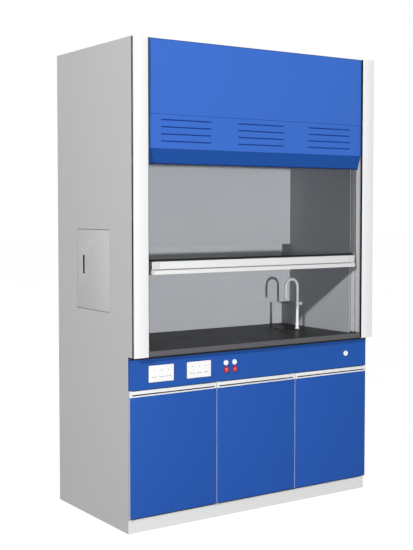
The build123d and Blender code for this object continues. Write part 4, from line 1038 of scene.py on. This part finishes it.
def makePostTrim():
    for side, sign in (("left", -1), ("right", 1)):
        low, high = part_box("post_" + side)
        innerX, outerX = (low.x, high.x) if sign > 0 else (high.x, low.x)
        x0, x1 = sorted((innerX, innerX - sign * seal["postInnerShade"]))
        # painted shade: black strips along the post's inner side and in the reveal behind it stand for the shade
        # there
        bm = roundedBlock(
            (x0, low.y + seal["postInnerShadeFront"], low.z + inset),
            (x1, low.y + seal["postInnerShadeDepth"], high.z - inset),
            seal["postInnerShadeEdge"],
        )
        x0, x1 = sorted(outerX - sign * far for far in seal["revealSides"])
        roundedBlock(
            (x0, high.y - seal["revealDepth"], low.z + inset),
            (x1, high.y - seal["revealBack"], high.z - inset),
            seal["revealEdge"],
            bm,
        )
        finishPiece(bm, "postShadeStrip." + side, "root", "post_white", material=sealAndShadeBlack)
        capFoot, capTop = seal["capHigh"]
        cap = roundedBlock(
            (low.x + seal["capInset"], low.y + seal["capInset"], high.z - capFoot),
            (high.x - seal["capInset"], low.y + seal["capBack"], high.z - capTop),
            seal["capEdge"],
        )
        finishPiece(cap, "postTopCap." + side, "root", "post_white", material=finishes["cap_grey"])


makeSashSeals()
makePostTrim()
print("seals fitted")


# Painted shade: dark linings in the doors' grips, the hatches' pulls and the gap over the plinth stand for the
# shade in these recesses
lining = {
    "wall": 0.0005,
    "gripEnds": 0.0121,
    "gripFront": 0.0006,
    "gripDepth": 0.0095,
    "gripDrop": 0.016,
    "gripHigh": 0.0059,
    "pullFromRear": 0.069,
    "pullHalf": 0.0089,
    "pullZ": (1.2242, 1.3178),
    "pullDepth": (0.0004, 0.0138),
    "footHalf": 0.735,
    "footBack": 0.0018,
    "footFront": 0.0002,
    "footEdge": 0.0004,
}


def makeShadowLinings():
    for side in ("left", "middle", "right"):
        low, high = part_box("door_handle_" + side)
        top = high.z - lining["gripDrop"]
        # painted shade in the grip's groove
        bm = openTray(
            (low.x + lining["gripEnds"], low.y + lining["gripFront"], top - lining["gripHigh"]),
            (high.x - lining["gripEnds"], low.y + lining["gripDepth"], top - hair),
            (0, -1, 0),
            lining["wall"],
        )
        finishPiece(bm, "gripShade." + side, "door_" + side, "handle_white", material=shadowLining)
    for side, sign in (("left", -1), ("right", 1)):
        low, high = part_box("service_hatch_" + side)
        pullY = high.y - lining["pullFromRear"]
        outerX = low.x if sign < 0 else high.x
        x0, x1 = sorted(outerX - sign * deep for deep in lining["pullDepth"])
        z0, z1 = lining["pullZ"]
        # painted shade in the hatch's pull
        bm = openTray(
            (x0, pullY - lining["pullHalf"], z0), (x1, pullY + lining["pullHalf"], z1), (sign, 0, 0), lining["wall"]
        )
        finishPiece(bm, "pullShade." + side, "service_hatch_" + side, "casing_grey", material=sealAndShadeBlack)
    doorLow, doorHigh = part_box("door_left")
    # painted shade: a dark strip over the plinth stands for the shade under the doors
    bm = roundedBlock(
        (-lining["footHalf"], doorHigh.y + lining["footFront"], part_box("plinth")[1].z + inset),
        (lining["footHalf"], doorHigh.y + lining["footBack"], doorLow.z - inset),
        lining["footEdge"],
    )
    finishPiece(bm, "doorFootShade", "root", "plinth_white", material=shadowLining)


makeShadowLinings()
print("linings fitted")


# Painted shade: dark edging round the fascia, dark plates behind the louvre slots and a black strip under the
# worktop, for the shade lines at these edges and gaps
trim = {
    "topBand": 0.001,
    "footBand": 0.0005,
    "footEnds": 0.0005,
    "footProud": 0.0006,
    "footHigh": 0.005,
    "footDeep": 0.004,
    "footEdge": 0.0006,
    "hemProud": 0.0006,
    "hemHigh": 0.0025,
    "hemDrop": 0.0003,
    "hemEdge": 0.0002,
    "rimShadeWide": 0.014,
    "rimShadeThick": 0.001,
    "rimShadeDrop": 0.0006,
    "rimShadeEdge": 0.0003,
    "seamRise": 0.161,
    "seamHigh": 0.0015,
    "seamProud": 0.0002,
    "seamDeep": 0.0004,
    "seamEdge": 0.0001,
    "louvreColumns": 3,
    "louvreLength": 0.286,
    "louvreMargin": 0.004,
    "shadeBack": 0.0025,
    "shadeThick": 0.001,
    "shadeEdge": 0.0003,
    "benchStripHigh": 0.007,
    "benchStripDeep": 0.003,
    "benchStripDrop": 0.0005,
    "benchStripEdge": 0.0008,
}


def makeFasciaTrim():
    low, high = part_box("fascia_panel")
    faceY = partBox("fascia_panel", lambda point: point.z > high.z - trim["topBand"])[0].y
    foldZ = partBox("fascia_panel", lambda point: close(point.y, faceY))[0].z
    footLow, footHigh = partBox("fascia_panel", lambda point: point.z < low.z + trim["footBand"])
    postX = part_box("post_left")[1].x
    # painted shade: dark blue strips at the fascia's foot, along its top, beside the left post and at its seam
    bm = roundedBlock(
        (footLow.x + trim["footEnds"], footLow.y - trim["footProud"], low.z - trim["footHigh"]),
        (footHigh.x - trim["footEnds"], footLow.y + trim["footDeep"], low.z - hair),
        trim["footEdge"],
        segments=3,
    )
    roundedBlock(
        (postX, faceY - trim["hemProud"], high.z - trim["hemHigh"]),
        (-postX, faceY - hair, high.z - trim["hemDrop"]),
        trim["hemEdge"],
        bm,
    )
    roundedBlock(
        (postX, faceY - trim["rimShadeThick"], foldZ + inset),
        (postX + trim["rimShadeWide"], faceY - hair, high.z - trim["rimShadeDrop"]),
        trim["rimShadeEdge"],
        bm,
    )
    seamZ = foldZ + trim["seamRise"]
    roundedBlock(
        (postX, faceY - trim["seamProud"], seamZ),
        (-postX, faceY + trim["seamDeep"], seamZ + trim["seamHigh"]),
        trim["seamEdge"],
        bm,
    )
    finishPiece(bm, "fasciaShadeEdging", "root", "fascia_blue", material=shadeEdgingBlue)
    # painted shade: dark plates behind the louvre slots stand for the shade inside them
    lipLow, lipHigh = partBox("fascia_panel", lambda point: point.y < faceY - trim["topBand"])
    step = (lipHigh.x - lipLow.x - trim["louvreLength"]) / (trim["louvreColumns"] - 1)
    margin = trim["louvreMargin"]
    backY = faceY + trim["shadeBack"]
    shades = bmesh.new()
    for column in range(trim["louvreColumns"]):
        x = lipLow.x + step * column
        roundedBlock(
            (x - margin, backY, lipLow.z - 3 * margin),
            (x + trim["louvreLength"] + margin, backY + trim["shadeThick"], lipHigh.z + margin),
            trim["shadeEdge"],
            shades,
        )
    finishPiece(shades, "louvreShades", "root", "fascia_blue", material=louvreShadeBlue)


def makeBenchStrip():
    # painted shade: a black strip at the top of the service panel stands for the shade under the worktop's overhang
    low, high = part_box("service_panel")
    bm = roundedBlock(
        (low.x + inset, low.y - trim["benchStripDeep"], high.z - trim["benchStripHigh"]),
        (high.x - inset, low.y - hair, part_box("worktop")[0].z - trim["benchStripDrop"]),
        trim["benchStripEdge"],
        segments=3,
    )
    finishPiece(bm, "benchStrip", "root", "service_blue", material=sealAndShadeBlack)


makeFasciaTrim()
makeBenchStrip()
print("edging fitted")


# Socket plates
socket = {
    "rim": 0.0015,
    "rimShadeOver": 0.002,
    "rimShadeThick": 0.0008,
    "rimShadeEdge": 0.0003,
    "pinSpread": 0.0407,
    "rise": 0.0162,
    "pinRadius": 0.0022,
    "slotShift": 0.0072,
    "slotLong": 0.0088,
    "slotHigh": 0.0028,
    "slotEdge": 0.0003,
    "sunk": 0.0004,
    "contactDeep": 0.001,
}


def makeSocket(side):
    node = "socket_" + side
    low, high, centre = boxOf(node)
    softenNode(node, "socketPlate." + side, plateRim, socket["rim"])
    frontY = low.y + socket["sunk"]
    backY = frontY + socket["contactDeep"]
    halfLong = socket["slotLong"] / 2
    halfHigh = socket["slotHigh"] / 2
    slotZ = centre.z - socket["rise"]
    bm = bmesh.new()
    for step in (-1, 0, 1):
        pinX = centre.x + step * socket["pinSpread"]
        pin = rod(socket["pinRadius"], socket["contactDeep"], 20)
        placeShape(bm, pin, (pinX, (frontY + backY) / 2, centre.z + socket["rise"]), facingFront)
        for slotX in (pinX - socket["slotShift"], pinX + socket["slotShift"]):
            roundedBlock(
                (slotX - halfLong, frontY, slotZ - halfHigh),
                (slotX + halfLong, backY, slotZ + halfHigh),
                socket["slotEdge"],
                bm,
            )
    finishPiece(bm, "socketContacts." + side, "root", "socket_white", material=contactGrey)
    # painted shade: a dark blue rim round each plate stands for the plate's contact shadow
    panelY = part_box("service_panel")[0].y
    over = socket["rimShadeOver"]
    shadeRim = roundedBlock(
        (low.x - over, panelY - socket["rimShadeThick"], low.z - over),
        (high.x + over, panelY - hair, high.z + over),
        socket["rimShadeEdge"],
    )
    finishPiece(shadeRim, "socketShadeRim." + side, "root", "socket_white", material=shadeEdgingBlue)


makeSocket("left")
makeSocket("right")
print("sockets fitted")


# Exhaust collar's bead and flange screws
collar = {
    "flange": 0.025,
    "beadRadius": 0.003,
    "beadDrop": 0.007,
    "beadSides": 12,
    "turnSteps": 72,
    "screws": 8,
    "screwInset": 0.0125,
    # domed head with a recess turned into its crown
    "screwHead": [
        (0, 0), (0.0045, 0), (0.0045, 0.00091), (0.00387, 0.00195), (0.002475, 0.0026), (0.00189, 0.0026),
        (0.00135, 0.00143), (0, 0.00143),
    ],
}


def makeCollar():
    low, high, centre = boxOf("exhaust_collar")
    flangeRadius = (high.x - low.x) / 2
    flangeTop = partBox("exhaust_collar", lambda point: close(point.x, high.x))[1].z
    bm = startRing((0, 0, 0), collar["beadRadius"], collar["beadSides"])
    moveShape(bm, (flangeRadius - collar["flange"], 0, high.z - collar["beadDrop"]), facingFront)
    bmesh.ops.spin(
        bm, geom=bm.verts[:] + bm.edges[:], cent=(0, 0, 0), axis=(0, 0, 1), angle=math.tau,
        steps=collar["turnSteps"], use_merge=True,
    )
    bmesh.ops.recalc_face_normals(bm, faces=bm.faces)
    moveShape(bm, (centre.x, centre.y, 0))
    finishPiece(bm, "collarBead", "root", "collar_steel", smoothAngle=60)
    screws = bmesh.new()
    reach = flangeRadius - collar["screwInset"]
    for number in range(collar["screws"]):
        angle = math.tau * (number + 0.5) / collar["screws"]
        head = turnedShape(collar["screwHead"], 24)
        across = (centre.x + reach * math.cos(angle), centre.y + reach * math.sin(angle))
        placeShape(screws, head, (*across, flangeTop))
    finishPiece(screws, "collarScrews", "root", "screw_steel")


makeCollar()
print("collar dressed")


# Studio
studio = {
    "ambient": 0.16,
    "frontLamp": 2560.0,
    "frontPlace": (-0.6, -12.0, 1.4),
    "sideLamp": 2600.0,
    "sidePlace": (-8.0, -5.7, 4.8),
    "lampSize": 0.2,
    "floorSize": 40.0,
    "floorCuts": 4,
    "floorDrop": 0.0005,
    "floorTone": 0.25,
    "floorGlow": 0.95,
}


def makeLamp(name, strength, place):
    data = bpy.data.lights.new(name, "POINT")
    data.energy = strength
    data.shadow_soft_size = studio["lampSize"]
    lamp = bpy.data.objects.new(name, data)
    lamp.location = place
    lamp.visible_transmission = False  # no ray that crosses the pane meets the lamp itself
    bpy.context.scene.collection.objects.link(lamp)
    return lamp


def dimPane():
    # light off a matt face doesn't meet the pane, so the chamber behind it stays as dim as in the photograph
    nodes["sash_glass"].visible_diffuse = False


def letThroughGlass(lamp):
    # the pane casts no shadow in this lamp's light
    clear = bpy.data.collections.new(lamp.name + "Clear")
    clear.objects.link(nodes["sash_glass"])
    clear.collection_objects[0].light_linking.link_state = "EXCLUDE"
    lamp.light_linking.blocker_collection = clear


def seenDirectly(tree, x, y):
    # 1 for what the camera sees straight, mirrored or through glass, and 0 for light on a matt face
    path = addNode(tree, "ShaderNodeLightPath", x, y).outputs
    first = mathOn(tree, "MAXIMUM", (path["Is Camera Ray"], path["Is Glossy Ray"]), x + 200, y)
    second = mathOn(tree, "MAXIMUM", (first, path["Is Transmission Ray"]), x + 400, y)
    unscattered = mathOn(tree, "LESS_THAN", (path["Diffuse Depth"], 0.5), x + 400, y - 200)
    return mathOn(tree, "MULTIPLY", (second, unscattered), x + 600, y)


def makeWorld():
    world = bpy.data.worlds.new("studioWorld")
    bpy.context.scene.world = world
    world.use_nodes = True
    tree = world.node_tree
    tree.nodes.clear()
    output = addNode(tree, "ShaderNodeOutputWorld", 700)
    choose = addNode(tree, "ShaderNodeMixShader", 500)
    join(tree, seenDirectly(tree, -300, 300), choose.inputs[0])
    for place, strength in ((1, studio["ambient"]), (2, 1.0)):
        white = addNode(tree, "ShaderNodeBackground", 300, 300 - 200 * place)
        joinAll(tree, white, Color=(1, 1, 1, 1), Strength=strength)
        join(tree, white.outputs[0], choose.inputs[place])
    join(tree, choose.outputs[0], output.inputs["Surface"])


def makeFloor():
    bm = bmesh.new()
    cuts = studio["floorCuts"]
    bmesh.ops.create_grid(bm, x_segments=cuts, y_segments=cuts, size=studio["floorSize"])
    bmesh.ops.translate(bm, vec=(0, 0, -studio["floorDrop"]), verts=bm.verts)
    mesh = bpy.data.meshes.new("studioFloor")
    bm.to_mesh(mesh)
    bm.free()
    floor = bpy.data.objects.new("studioFloor", mesh)
    bpy.context.scene.collection.objects.link(floor)
    material, tree, surface = startMaterial("floorPale")
    tone = studio["floorTone"]
    joinAll(tree, surface, Base_Color=(tone, tone, tone, 1), Roughness=1.0, Specular_IOR_Level=0.0)
    glow = addNode(tree, "ShaderNodeEmission", 300, -400)
    power = mathOn(tree, "MULTIPLY", (seenDirectly(tree, -600, -400), studio["floorGlow"]), 100, -400)
    joinAll(tree, glow, Strength=power)
    both = addNode(tree, "ShaderNodeAddShader", 700)
    join(tree, surface.outputs[0], both.inputs[0])
    join(tree, glow.outputs[0], both.inputs[1])
    join(tree, both.outputs[0], tree.nodes["Material Output"].inputs["Surface"])
    mesh.materials.append(material)


makeWorld()
makeFloor()
dimPane()
letThroughGlass(makeLamp("frontLamp", studio["frontLamp"], studio["frontPlace"]))
makeLamp("sideLamp", studio["sideLamp"], studio["sidePlace"])
bpy.context.scene.view_settings.view_transform = "Standard"
print("studio lit")
